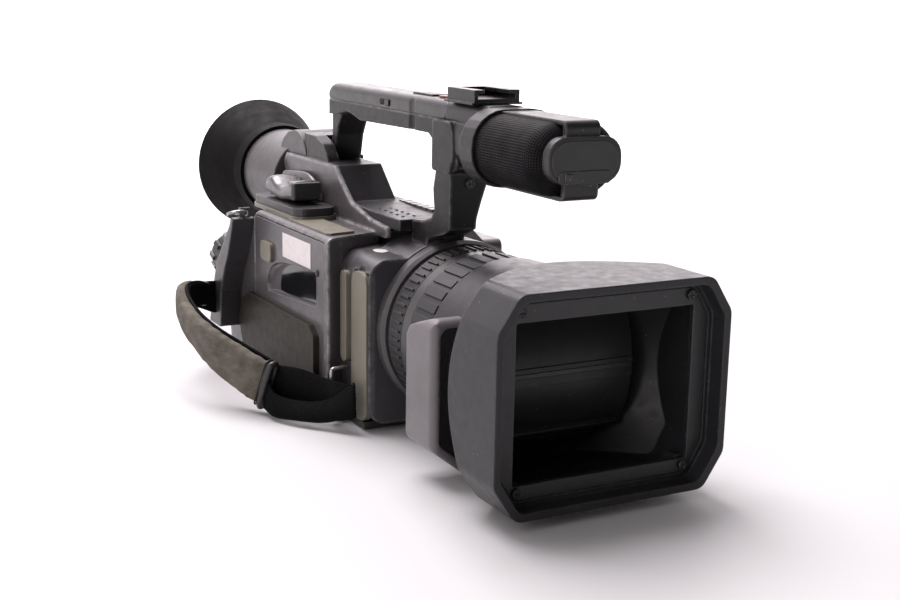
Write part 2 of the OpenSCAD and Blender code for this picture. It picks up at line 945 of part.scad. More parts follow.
// Outline of the cassette lid in y and z, grown by a margin.
module lid_outline(margin) {
    translate([(lid_y0 + lid_y1) / 2, (lid_z0 + lid_z1) / 2])
        rounded(lid_y1 - lid_y0 + 2 * margin, lid_z1 - lid_z0 + 2 * margin, 1.5 + margin);
}

module cassette_lid() {
    lid_in = -grip_x + lid_t;
    color("gray")
        difference() {
            union() {
                along_x(-grip_x, lid_in)
                    lid_outline(-0.35);
                // knuckles of the hinge along the bottom
                for (y = [24, 84])
                    bar_y(3, y, y + 10, lid_pin_x, lid_pin_z);
            }
            bar_y(pin_r + pin_fit, 20, 100, lid_pin_x, lid_pin_z);
            // window over the cassette, swept in from the rear
            along_x(-grip_x - 1, -grip_x + 4)
                lid_opening(0);
            // hole of the eject button
            along_x(-grip_x - 1, -grip_x + 4)
                eject_outline(0.2);
            // screw beside the window
            bar_x(1.4, -grip_x - 1, -grip_x + 0.8, 12.7, 70.3);
        }
    // hinge pin, which turns with the lid
    color("silver")
        bar_y(pin_r, 2.4, 102, lid_pin_x, lid_pin_z);
}

// Outline of the lid's window, in y and z.
module lid_opening(margin) {
    offset(margin)
        polygon([
            [14, 70.4], [57, 67.6], [68, 65.6], [76, 62], [80, 57.2], [81.5, 52], [80.5, 48.6],
            [66, 49.4], [40, 51.2], [14, 53.2]
        ]);
}

module lid_window() {
    color("lightsteelblue", 0.5)
        along_x(-grip_x + 1.2, -grip_x + 2.3)
            lid_opening(-0.15);
}

module palm_pad() {
    color("darkkhaki")
        along_x(-grip_x - 3.2, -grip_x - 0.02)
            offset(3, $fn = edge_fn)
                offset(-3)
                    polygon([
                        [11, 13], [11, 39], [18, 43.6], [104, 43.2], [113, 38.5], [119, 26], [113, 12],
                        [12, 12]
                    ]);
}

// Outline of the eject button in y and z, grown by a margin.
module eject_outline(margin) {
    translate([79.5, 69.8])
        rounded(15 + 2 * margin, 10.4 + 2 * margin, 3.2 + margin);
}

module eject_button() {
    color("darkkhaki")
        union() {
            along_x(-grip_x - 1.8, -grip_x + 1.8)
                eject_outline(0);
            block(-grip_x + 1.6, -grip_x + 2.2, 75, 84, 66, 73.6);
        }
}

module cassette_carrier() {
    x0 = -48.6;
    x1 = -30;
    color("gray")
        difference() {
            block(x0, x1, 16.4 + gap, 90.2, carrier_z0, 80);
            // opening that holds the tape
            block(x0 - 1, x1 - 2.6, 19.8, 19.8 + tape_w + 0.4, 22.8, 22.8 + tape_h + 0.4);
            block(x0 - 1, x1 - 2.6, 30, 76, carrier_z0 - 1, 84);
            block(x0 + 3, x1 + 1, 30, 76, 26, 66);
            block(x0 - 1, x1 - 2.6, 15, 95, 76, 84);
        }
}

module cassette() {
    x0 = -47.8;
    color("black")
        difference() {
            block(x0, x0 + tape_t, 20, 20 + tape_w, 23, 23 + tape_h);
            // two reel hubs, reached from the inner side
            for (y = [37.5, 68.5])
                bar_x(5, x0 + 4, x0 + tape_t + 1, y, 44);
            // panel for a label
            block(x0 - 1, x0 + 0.3, 26, 80, 50, 66);
        }
}

module head_drum() {
    color("silver")
        difference() {
            union() {
                bar_x(10.85, drum_x0, drum_x1, drum_y, drum_z);
                bar_x(6, drum_x0 - 0.8, drum_x1, drum_y, drum_z);
            }
            bar_x(2 + pin_fit, drum_x0 - 2, drum_x1 + 1, drum_y, drum_z);
            // groove that guides the tape
            difference() {
                bar_x(12, drum_x0 + 7, drum_x0 + 8, drum_y, drum_z);
                bar_x(10.4, drum_x0 + 6, drum_x0 + 9, drum_y, drum_z);
            }
        }
}

// ---- strap ---------------------------------------------------------------------------------

// Middle line of the strap: [y, distance out from the lid, height of its lower edge].
strap_path = [
    [130, 17.5, 31], [125, 23.5, 31], [116, 31, 30], [102, 38, 28], [86, 41.5, 25], [68, 42, 21],
    [50, 39, 16.5], [34, 31.5, 11], [20, 22.5, 6]
];

// Flat strap, t thick and h tall, in straight lengths between the points of a path.
module strap_run(path, t, h) {
    for (i = [0 : len(path) - 2]) {
        a = [path[i][0], path[i][1]];
        b = [path[i + 1][0], path[i + 1][1]];
        d = (b - a) / norm(b - a);
        n = [d[1], -d[0]] * t / 2;
        start = a - 0.3 * d;
        end = b + 0.3 * d;
        translate([-grip_x, 0, min(path[i][2], path[i + 1][2])])
            linear_extrude(h)
                polygon([
                    for (q = [start + n, end + n, end - n, start - n])
                        [-q[1], q[0]]
                ]);
    }
}

module strap_pad() {
    color("darkkhaki")
        strap_run(strap_path, 7, 22);
}

module strap_webbing() {
    z = 22.3;
    rear = [[127, 7.4, z], [143, 7.4, z], [145, 11.5, z], [142, 16, z], [135.8, 18.6, z]];
    front = [[15, 19.6, 4], [3, 11.4, 3], [-10, 3.6, 3], [-20.6, -1.8, 3]];
    flap = [[15.4, 23.8, 2], [2, 15.2, 1.5], [-12, 7.6, 1], [-20.6, 3, 1]];
    color("black") {
        strap_run(rear, 2.2, 22);
        strap_run(front, 2, 22);
        strap_run(flap, 2, 22);
    }
}

module strap_rings() {
    color("silver") {
        // eyelet for a shoulder strap on the rear of the grip
        translate([eyelet_x, 104, eyelet_z])
            rotate([-20, 0, 0])
                rotate_extrude()
                    translate([eyelet_r, 0])
                        circle(r = 1, $fn = edge_fn);
        // wire loop from the side of the block, that the strap's front end turns around
        for (z = [loop_z0, loop_z1])
            bar_x(1, loop_x, block_x - 0.1, loop_y, z);
        translate([loop_x, loop_y, loop_z0 - 1])
            cylinder(r = 1, h = loop_z1 - loop_z0 + 2);
    }
}

// ---- controls ------------------------------------------------------------------------------

module zoom_base() {
    color("dimgray")
        difference() {
            translate([0, 0, grip_top + plinth_h + 0.1])
                linear_extrude(4)
                    zoom_outline(0);
            // well of the photo button
            translate([photo_x, photo_y, grip_top + plinth_h + 1.5])
                cylinder(r = 3.7, h = 4);
        }
}

module zoom_rocker() {
    z0 = grip_top + plinth_h + 4.3;
    color("gray")
        translate([0, rocker_y, z0])
            along_x(zoom_x - 8.5, zoom_x + 8.5)
                offset(1, $fn = edge_fn)
                    offset(-1)
                        polygon([
                            [-20, 2.4], [-19, 11.6], [-14, 12], [-5, 6.6], [4, 6], [11, 9.6], [17, 9.6],
                            [20, 4.4], [5, 0.6], [-5, 0.6]
                        ]);
}

module photo_button() {
    color("gray")
        translate([photo_x, photo_y, grip_top + plinth_h + 3])
            cylinder(r = 3.6, h = 2.8);
}

module mode_dial() {
    color("gray")
        translate([dial_x, dial_y, dial_z])
            rotate([-90 + dial_tilt, 0, 0])
                difference() {
                    union() {
                        translate([0, 0, 0.6])
                            cylinder(r = dial_r, h = dial_h);
                        translate([0, 0, -6])
                            cylinder(r = 3, h = 7);
                        // grips around the rim
                        for (i = [0 : 11])
                            rotate([0, 0, 30 * i])
                                translate([dial_r - 0.6, -1.3, dial_h - 6])
                                    cube([1.8, 2.6, 6]);
                    }
                    translate([0, 0, dial_h - 4])
                        cylinder(r = 6.4, h = 6);
                }
}

module rec_button() {
    color("firebrick")
        translate([dial_x, dial_y, dial_z])
            rotate([-90 + dial_tilt, 0, 0])
                translate([0, 0, dial_h - 2.8])
                    cylinder(r = 6.3, h = 4);
}

module jack_cover_front() {
    color("darkkhaki")
        jack_cover(-27, -10, 4.6, 76, 1.0);
}

module jack_cover_rear() {
    color("darkkhaki")
        jack_cover(-7.4, -0.6, 30, 74.4, 2.6);
}

// Flap over the sockets, arched at its top, standing proud of the block by a little.
module jack_cover(y0, y1, z0, z1, proud) {
    along_x(block_x - proud, block_x + 2.1)
        translate([(y0 + y1) / 2, (z0 + z1) / 2])
            rounded(y1 - y0, z1 - z0, min(6, (y1 - y0) / 2 - 0.1));
}

module deck_keys() {
    color("silver")
        for (i = [0 : 5])
            block(deck_x1 - 7.5, deck_x1 - 2.1, 4.4 + 6.3 * i, 9.4 + 6.3 * i, deck_z - 1.4, deck_z + 1.2);
}

module handle_rec_button() {
    color("firebrick")
        translate([top_x, -30, handle_z - 2.8])
            cylinder(r = 5, h = 3.8);
}

module handle_zoom_rocker() {
    color("gray")
        block(top_x - 4, top_x + 4, -20, 0, handle_z - 1.2, handle_z + 0.9);
}

module hold_switch() {
    color("black")
        translate([top_x - handle_w / 2, 0, 0])
            block(-0.6, 1.5, 14, 18.5, handle_z - 6.6, handle_z - 4.1);
}

// ---- viewfinder, display, battery ----------------------------------------------------------

module vf_tube() {
    x0 = deck_x0 + 0.2;
    x1 = deck_x1 - 3.2;
    color("gray")
        difference() {
            union() {
                bar_x(vf_drum_r, x0, x1, vf_pivot_y, vf_pivot_z);
                // arm from the drum to the tube, domed on top
                along_x(x0, x1)
                    offset(2, $fn = edge_fn)
                        offset(-2)
                            polygon([
                                [vf_pivot_y, vf_tube_z + 1], [vf_pivot_y, vf_pivot_z + vf_drum_r],
                                [132, 126.6], [139, 122.6], [143.5, 118], [143.5, vf_tube_z + 1]
                            ]);
                bar_y(vf_tube_r, vf_tube_y, cup_y - 6, top_x, vf_tube_z);
                bar_y(22, cup_y - 6.1, cup_y + 8, top_x, vf_tube_z);
            }
            bar_y(19, 160, cup_y + 9, top_x, vf_tube_z);
            bar_x(pin_r + 1 + pin_fit, deck_x1 - 11, deck_x1, vf_pivot_y, vf_pivot_z);
        }
}

module eyecup() {
    color("black")
        translate([top_x, 0, vf_tube_z])
            rotate([-90, 0, 0])
                rotate_extrude($fn = 96)
                    polygon([
                        [22.1, cup_y - 5.8], [27, cup_y - 5.8], [28, cup_y + 4],
                        [eyecup_r - 6, cup_y + 18], [eyecup_r, eyecup_rear], [eyecup_r - 1.4, eyecup_rear],
                        [eyecup_r - 8, cup_y + 18], [25, cup_y + 7], [22.1, cup_y + 6]
                    ]);
}

module eyepiece_lens() {
    color("lightsteelblue", 0.6)
        bar_y(18.9, 172, 178, top_x, vf_tube_z);
}

module lcd_panel() {
    x0 = side_x + 0.5;
    color("dimgray")
        difference() {
            union() {
                along_x(x0, x0 + 11)
                    translate([lcd_y0 + lcd_len / 2, lcd_z])
                        rounded(lcd_len, lcd_h, 4);
                // knuckle between the two lugs
                translate([side_x + 5, lcd_pin_y, lcd_z - 14.8])
                    cylinder(r = 3.4, h = 29.6);
                block(side_x + 1.8, side_x + 8, lcd_pin_y, lcd_y0 + 2, lcd_z - 14.8, lcd_z + 14.8);
            }
            translate([side_x + 5, lcd_pin_y, lcd_z - 20])
                cylinder(r = pin_r + pin_fit, h = 40);
            // seat of the screen on the inner face
            block(x0 - 1, x0 + 2.2, lcd_y0 + 8, lcd_y0 + lcd_len - 6, lcd_z - 24, lcd_z + 24);
        }
}

module lcd_screen() {
    color("black")
        block(side_x + 0.7, side_x + 2.6, lcd_y0 + 8.1, lcd_y0 + lcd_len - 6.1, lcd_z - 23.9, lcd_z + 23.9);
}

module lcd_hinge_pin() {
    color("silver")
        translate([side_x + 5, lcd_pin_y, lcd_z - 20.4])
            cylinder(r = pin_r, h = 40.8);
}

module battery_pack() {
    color("dimgray")
        difference() {
            along_y(body_rear - 1, body_rear + 21)
                translate([7.5, battery_z0 + battery_h / 2])
                    rounded(38, battery_h, 2);
            for (x = [-14, 26])
                block(x - 0.3, x + 3.3, body_rear - 2, body_rear + 1.4, battery_z0 - 1, 70);
        }
}

module battery_release() {
    color("gray")
        block(-5.8, 19.8, body_rear - 4, body_rear - 1.1, 61.2, 66);
}

module circuit_board() {
    color("darkgreen")
        difference() {
            block(36, 37.6, 40, 128, 12, 70);
            bar_x(5.4, 35, 39, drum_y, drum_z);
        }
    color("black")
        for (y = [66, 88, 110])
            block(33.8, 35.9, y, y + 14, 40, 54);
}

main_shell();
grip_shell();
front_block();
base_plate();
tripod_bush();
top_deck();
top_plate();
strap_frame();
rear_panel();
handle_lower();
handle_upper();
accessory_shoe();
mic_holder();
mic_grille();
mic_frame();
mic_capsules();
lens_barrel();
lens_flange();
lens_elements();
sensor_block();
hood_shell();
hood_mask();
casing_screws();
emitter_housing();
emitter_window();
head_drum();
circuit_board();
strap_pad();
strap_webbing();
strap_rings();
zoom_base();
zoom_ring();
focus_ring();
shutter_upper();
shutter_lower();
shutter_lever();
cassette_lid();
lid_window();
palm_pad();
eject_button();
cassette_carrier();
cassette();
vf_tube();
eyecup();
eyepiece_lens();
lcd_panel();
lcd_screen();
lcd_hinge_pin();
battery_pack();
battery_release();
mode_dial();
rec_button();
zoom_rocker();
photo_button();
jack_cover_front();
jack_cover_rear();
deck_keys();
handle_rec_button();
handle_zoom_rocker();
hold_switch();
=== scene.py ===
"""Looks of the camcorder: materials, soft strap, woven microphone, small fittings, light and camera.

Lengths in tables and mesh functions are millimetres; Blender's own are metres.
"""
import json
import math

import bmesh
import bpy
from mathutils import Matrix, Vector


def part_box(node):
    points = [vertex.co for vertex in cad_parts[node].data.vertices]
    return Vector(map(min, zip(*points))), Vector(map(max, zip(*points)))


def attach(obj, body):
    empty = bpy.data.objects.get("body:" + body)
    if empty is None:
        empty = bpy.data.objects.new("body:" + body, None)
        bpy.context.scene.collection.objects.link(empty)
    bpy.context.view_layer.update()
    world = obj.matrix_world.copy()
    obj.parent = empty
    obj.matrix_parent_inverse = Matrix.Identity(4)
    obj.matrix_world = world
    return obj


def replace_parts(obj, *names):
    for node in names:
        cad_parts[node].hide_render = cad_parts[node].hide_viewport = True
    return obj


MM = 0.001
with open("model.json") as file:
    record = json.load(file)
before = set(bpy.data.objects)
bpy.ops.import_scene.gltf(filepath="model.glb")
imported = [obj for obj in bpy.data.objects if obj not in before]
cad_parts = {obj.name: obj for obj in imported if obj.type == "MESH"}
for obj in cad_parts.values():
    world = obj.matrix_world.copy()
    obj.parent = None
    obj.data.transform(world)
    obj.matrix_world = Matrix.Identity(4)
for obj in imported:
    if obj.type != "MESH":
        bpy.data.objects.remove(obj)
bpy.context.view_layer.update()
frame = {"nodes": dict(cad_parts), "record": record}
nodes = frame["nodes"]
record = frame["record"]
slot_colour = {m["slot"]: m["base_color"] for m in record["materials"]}


def box_mm(node):
    """Lowest and highest corners of a CAD node, in millimetres."""
    low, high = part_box(node)
    return low / MM, high / MM


lens_z = sum(corner.z for corner in box_mm("focus_ring")) / 2
lid_x = box_mm("cassette_lid")[0].x


# ---- node helpers ---------------------------------------------------------------------------

def make_material(name):
    """A new node material and its tree and Principled shader."""
    material = bpy.data.materials.new(name)
    material.use_nodes = True
    tree = material.node_tree
    return material, tree, tree.nodes["Principled BSDF"]


def add_node(tree, kind, inputs=None, **settings):
    """A shader node with its settings; each input is a value or another node's output socket."""
    node = tree.nodes.new("ShaderNode" + kind)
    for key, value in settings.items():
        setattr(node, key, value)
    for key, value in (inputs or {}).items():
        if isinstance(value, bpy.types.NodeSocket):
            tree.links.new(value, node.inputs[key])
        else:
            node.inputs[key].default_value = value
    return node


def math_node(tree, operation, a, b=0.0, clamp=False):
    """The result of a maths operation on values or sockets."""
    return add_node(tree, "Math", {0: a, 1: b}, operation=operation, use_clamp=clamp).outputs[0]


def vector_math(tree, operation, a, b=(0.0, 0.0, 0.0)):
    """The single value of a vector operation, such as a dot product or a length."""
    return add_node(tree, "VectorMath", {0: a, 1: b}, operation=operation).outputs["Value"]


def remap(tree, value, low, high, to_low=0.0, to_high=1.0):
    """Carries a value from low..high to to_low..to_high, clamped."""
    inputs = {"Value": value, "From Min": low, "From Max": high, "To Min": to_low, "To Max": to_high}
    return add_node(tree, "MapRange", inputs).outputs["Result"]


def noise(tree, vector, size_mm, detail=3.0, rough=0.55):
    """Noise whose features are about size_mm across."""
    inputs = {"Vector": vector, "Scale": 1.0 / (size_mm * MM), "Detail": detail, "Roughness": rough}
    return add_node(tree, "TexNoise", inputs).outputs["Fac"]


def mix_colour(tree, factor, a, b):
    """A blend of two colours, each given as a value or a socket."""
    node = add_node(tree, "MixRGB", {"Fac": factor})
    for key, value in (("Color1", a), ("Color2", b)):
        if isinstance(value, bpy.types.NodeSocket):
            tree.links.new(value, node.inputs[key])
        else:
            node.inputs[key].default_value = (*value[:3], 1.0)
    return node.outputs["Color"]


def object_coords(tree):
    return add_node(tree, "TexCoord").outputs["Object"]


def edge_mask(tree, radius_mm):
    """A rounded normal for sharp edges, and a mask that is 1 along them."""
    rounded = add_node(tree, "Bevel", {"Radius": radius_mm * MM}, samples=4).outputs["Normal"]
    flat = add_node(tree, "NewGeometry").outputs["Normal"]
    return rounded, remap(tree, vector_math(tree, "DOT_PRODUCT", rounded, flat), 0.985, 0.86)


def set_bump(tree, shader, height, distance_mm, normal=None):
    """Gives a shader a bump of the given depth, over a normal where there is one."""
    inputs = {"Height": height, "Distance": distance_mm * MM}
    if normal is not None:
        inputs["Normal"] = normal
    tree.links.new(add_node(tree, "Bump", inputs).outputs["Normal"], shader.inputs["Normal"])


def scaled(colour, factor):
    """A colour made lighter or darker."""
    return tuple(min(1.0, c * factor) for c in colour[:3])


# ---- materials ------------------------------------------------------------------------------

DUST_COLOUR = (0.55, 0.54, 0.52)
SPECK_SPACING = 4.2     # between specks of dust


def moulded(name, colour, rough=0.5, grain=0.35, height=0.02, edge=0.6, wear_and_highlight=0.35, specular=0.5,
            metallic=0.0, dust=0.25):
    """Moulded plastic or paint: fine grain, smudges, a little dust, and edges painted lighter, partly as
    rubbed wear and partly as a painted highlight.
    """
    material, tree, shader = make_material(name)
    place = object_coords(tree)
    cloud = noise(tree, place, 26.0, 4.0)
    smudge = noise(tree, place, 5.0, 5.0, 0.65)
    fine = noise(tree, place, grain, 2.0)
    tone = mix_colour(tree, remap(tree, cloud, 0.3, 0.7), scaled(colour, 0.86), scaled(colour, 1.14))
    tone = mix_colour(tree, remap(tree, fine, 0.35, 0.65, 0.0, 0.3), tone, scaled(colour, 1.25))
    rounded, edges = edge_mask(tree, edge)
    # edges turn lighter where the bevel rounds them: partly rubbed wear, partly a painted highlight along
    # rounded edges
    rubbed_and_highlit = math_node(tree, "MULTIPLY", edges, remap(tree, smudge, 0.38, 0.62, 0.15, 1.0))
    rubbed_and_highlit = math_node(tree, "MULTIPLY", rubbed_and_highlit, wear_and_highlight, clamp=True)
    tone = mix_colour(tree, rubbed_and_highlit, tone, scaled([c + 0.09 for c in colour[:3]], 2.3))
    cells = add_node(tree, "TexVoronoi", {"Vector": place, "Scale": 1.0 / (SPECK_SPACING * MM)})
    specks = remap(tree, cells.outputs["Distance"], 0.075, 0.045, 0.0, dust)
    tone = mix_colour(tree, specks, tone, DUST_COLOUR)
    tree.links.new(tone, shader.inputs["Base Color"])
    gloss = remap(tree, smudge, 0.3, 0.7, rough - 0.07, rough + 0.09)
    tree.links.new(gloss, shader.inputs["Roughness"])
    shader.inputs["Metallic"].default_value = metallic
    shader.inputs["Specular IOR Level"].default_value = specular
    set_bump(tree, shader, fine, height, rounded)
    return material


def worn_metal(name, colour, rough=0.28, edge=0.4):
    """Bare metal with fine scratches and darker handling marks."""
    material, tree, shader = make_material(name)
    place = object_coords(tree)
    stretched = add_node(tree, "Mapping", {"Vector": place, "Scale": (1.0, 0.06, 1.0)}).outputs["Vector"]
    scratches = noise(tree, stretched, 0.25, 4.0, 0.7)
    smudge = noise(tree, place, 4.0, 4.0)
    tone = mix_colour(tree, remap(tree, smudge, 0.35, 0.65), scaled(colour, 0.72), colour)
    tree.links.new(tone, shader.inputs["Base Color"])
    tree.links.new(remap(tree, scratches, 0.3, 0.7, rough - 0.1, rough + 0.18), shader.inputs["Roughness"])
    shader.inputs["Metallic"].default_value = 0.9
    rounded, _ = edge_mask(tree, edge)
    set_bump(tree, shader, scratches, 0.01, rounded)
    return material


def rubber(name, colour, rough=0.62, dust=0.5, specular=0.4):
    """Matte rubber with a dusty bloom that settles on faces looking up."""
    material, tree, shader = make_material(name)
    place = object_coords(tree)
    smudge = noise(tree, place, 7.0, 5.0, 0.6)
    fine = noise(tree, place, 0.3, 3.0)
    up = add_node(tree, "SeparateXYZ", {0: add_node(tree, "NewGeometry").outputs["Normal"]}).outputs["Z"]
    settled = remap(tree, up, -0.2, 1.0, 0.1, 0.6)
    bloom = math_node(tree, "MULTIPLY", settled, remap(tree, smudge, 0.3, 0.7))
    tone = mix_colour(tree, math_node(tree, "MULTIPLY", bloom, dust), colour, scaled(colour, 3.2))
    tree.links.new(tone, shader.inputs["Base Color"])
    tree.links.new(remap(tree, smudge, 0.3, 0.7, rough - 0.08, rough + 0.1), shader.inputs["Roughness"])
    shader.inputs["Specular IOR Level"].default_value = specular
    rounded, _ = edge_mask(tree, 0.4)
    set_bump(tree, shader, fine, 0.02, rounded)
    return material


def glossy(name, colour, rough=0.08, alpha=1.0, tint=1.0):
    """Glossy panel or glass with fingerprints in its roughness."""
    material, tree, shader = make_material(name)
    place = object_coords(tree)
    smudge = noise(tree, place, 6.0, 6.0, 0.7)
    tree.links.new(mix_colour(tree, smudge, colour, scaled(colour, tint)), shader.inputs["Base Color"])
    tree.links.new(remap(tree, smudge, 0.4, 0.75, rough, rough + 0.16), shader.inputs["Roughness"])
    shader.inputs["Coat Weight"].default_value = 0.5
    shader.inputs["Alpha"].default_value = alpha
    rounded, _ = edge_mask(tree, 0.8)
    tree.links.new(rounded, shader.inputs["Normal"])
    return material


def woven_mesh(name, pitch=1.15):
    """Black wire mesh whose holes are painted near black as the shade behind it, with painted glints on the
    wires; its UV map is in millimetres.
    """
    material, tree, shader = make_material(name)
    uv = add_node(tree, "TexCoord").outputs["UV"]
    parts = add_node(tree, "SeparateXYZ", {0: uv})
    waves = []
    for axis in ("X", "Y"):
        angle = math_node(tree, "MULTIPLY", parts.outputs[axis], math.pi / pitch)
        waves.append(math_node(tree, "ABSOLUTE", math_node(tree, "SINE", angle)))
    hole = math_node(tree, "MULTIPLY", waves[0], waves[1])
    wire = remap(tree, hole, 0.62, 0.42)
    # painted glints on the wires from noise, and the holes painted near black as the shade behind the mesh
    glint = noise(tree, object_coords(tree), 9.0, 3.0)
    lit = mix_colour(tree, remap(tree, glint, 0.35, 0.65), (0.008, 0.008, 0.009), (0.02, 0.019, 0.02))
    tree.links.new(mix_colour(tree, wire, (0.002, 0.002, 0.002), lit), shader.inputs["Base Color"])
    tree.links.new(remap(tree, wire, 0.0, 1.0, 0.95, 0.5), shader.inputs["Roughness"])
    shader.inputs["Specular IOR Level"].default_value = 0.06
    set_bump(tree, shader, wire, 0.35)
    return material


def twill(name, colour, pitch=1.6):
    """Ribbed nylon webbing; its UV map is in millimetres, u along the band."""
    material, tree, shader = make_material(name)
    uv = add_node(tree, "TexCoord").outputs["UV"]
    parts = add_node(tree, "SeparateXYZ", {0: uv})
    along, across = parts.outputs["X"], parts.outputs["Y"]
    diagonal = math_node(tree, "ADD", along, math_node(tree, "MULTIPLY", across, 0.9))
    rib = math_node(tree, "SINE", math_node(tree, "MULTIPLY", diagonal, 2 * math.pi / pitch))
    thread_pitch = 0.7
    cross = math_node(tree, "SINE", math_node(tree, "MULTIPLY", across, 2 * math.pi / thread_pitch))
    weave = math_node(tree, "ADD", rib, math_node(tree, "MULTIPLY", cross, 0.5))
    fuzz = noise(tree, object_coords(tree), 1.4, 6.0, 0.75)
    level = remap(tree, math_node(tree, "ADD", weave, fuzz), -1.2, 2.4)
    tone = mix_colour(tree, level, scaled(colour, 0.2), scaled(colour, 1.1))
    tree.links.new(tone, shader.inputs["Base Color"])
    shader.inputs["Roughness"].default_value = 0.8
    shader.inputs["Specular IOR Level"].default_value = 0.05
    set_bump(tree, shader, weave, 0.18)
    return material


def suede(name, colour):
    """Brushed synthetic suede with soft patches where the nap lies differently."""
    material, tree, shader = make_material(name)
    place = object_coords(tree)
    nap = noise(tree, place, 14.0, 6.0, 0.6)
    brush = add_node(tree, "Mapping", {"Vector": place, "Scale": (1.0, 0.5, 1.6)}).outputs["Vector"]
    patch = noise(tree, brush, 4.5, 5.0, 0.7)
    fuzz = noise(tree, place, 0.35, 4.0, 0.8)
    tone = mix_colour(tree, remap(tree, nap, 0.36, 0.66), scaled(colour, 0.62), scaled(colour, 1.25))
    tone = mix_colour(tree, remap(tree, patch, 0.45, 0.7, 0.0, 0.55), tone, scaled(colour, 1.75))
    tone = mix_colour(tree, remap(tree, fuzz, 0.3, 0.7, 0.0, 0.35), tone, scaled(colour, 0.5))
    tree.links.new(tone, shader.inputs["Base Color"])
    shader.inputs["Roughness"].default_value = 0.92
    shader.inputs["Specular IOR Level"].default_value = 0.2
    height = math_node(tree, "ADD", fuzz, math_node(tree, "MULTIPLY", patch, 0.8))
    set_bump(tree, shader, height, 0.12)
    return material


def paper(name):
    """Blank label, slightly soiled and creased."""
    material, tree, shader = make_material(name)
    place = object_coords(tree)
    stain = noise(tree, place, 4.0, 6.0, 0.7)
    crease = noise(tree, place, 9.0, 2.0)
    tone = mix_colour(tree, remap(tree, stain, 0.5, 0.72, 0.0, 0.5), (0.62, 0.58, 0.58), (0.4, 0.36, 0.33))
    tree.links.new(tone, shader.inputs["Base Color"])
    shader.inputs["Roughness"].default_value = 0.35
    set_bump(tree, shader, crease, 0.25)
    return material


# radius of the softened edges of moulded nodes; the others have SMALL_EDGE
SMALL_EDGE = 0.5
SOFT_EDGES = {"cassette_lid": 0.7, "hood_shell": 1.2, "main_shell": 1.5, "lcd_panel": 1.5,
              "battery_pack": 1.2}


def slot_material(slot, edge):
    """The finish of one of the record's material slots, with edges softened by edge millimetres."""
    colour = slot_colour[slot][:3]
    name = slot + "_" + str(edge).replace(".", "p")
    if slot in ("steel", "brass"):
        return worn_metal(name, colour, edge=edge)
    if slot == "ring_rubber":
        return rubber(name, colour, 0.5)
    if slot == "eye_rubber":
        return rubber(name, scaled(colour, 0.3), 0.6, dust=0.1, specular=0.06)
    if slot == "smoked":
        return glossy(name, (0.007, 0.006, 0.0065), 0.14, tint=2.2)
    if slot == "screen":
        return glossy(name, colour, 0.06)
    if slot == "lens_glass":
        return glossy(name, (0.02, 0.025, 0.04), 0.03, tint=2.0)
    if slot == "clear_window":
        return glossy(name, (0.08, 0.085, 0.09), 0.05, alpha=0.25)
    if slot == "mesh":
        return woven_mesh(name)
    if slot == "webbing":
        return twill(name, scaled(colour, 0.7))
    if slot == "suede":
        return suede(name, scaled((colour[0], colour[1] * 1.06, colour[2] * 0.98), 1.05))
    if slot == "red_button":
        return moulded(name, scaled(colour, 0.5), 0.35, edge=edge)
    if slot == "key_silver":
        return moulded(name, scaled(colour, 0.45), 0.3, metallic=0.4, edge=edge)
    if slot == "body_grey":
        return moulded(name, scaled(colour, 1.12), 0.34, edge=edge, wear_and_highlight=0.9, metallic=0.3)
    if slot == "dark_grey":
        return moulded(name, scaled(colour, 0.8), 0.36, edge=edge, wear_and_highlight=0.7, metallic=0.1)
    if slot == "dark_metal":
        return moulded(name, scaled(colour, 0.6), 0.3, edge=edge, wear_and_highlight=0.9, metallic=0.6)
    if slot == "barrel_grey":
        return moulded(name, scaled(colour, 0.8), 0.34, height=0.012, edge=edge, metallic=0.3)
    if slot == "hood_black":
        return moulded(name, scaled(colour, 0.75), 0.36, height=0.03, edge=edge, wear_and_highlight=0.25, specular=0.3)
    if slot == "olive":
        return moulded(name, scaled(colour, 1.15), 0.38, edge=edge)
    return moulded(name, colour, 0.42, edge=edge)


made = {}
node_slot = {row["node"]: row["material_slot"] for row in record["subparts"]}


def finish_for(slot, edge=SMALL_EDGE):
    """The material of a slot, made once for each edge radius."""
    if (slot, edge) not in made:
        made[slot, edge] = slot_material(slot, edge)
    return made[slot, edge]


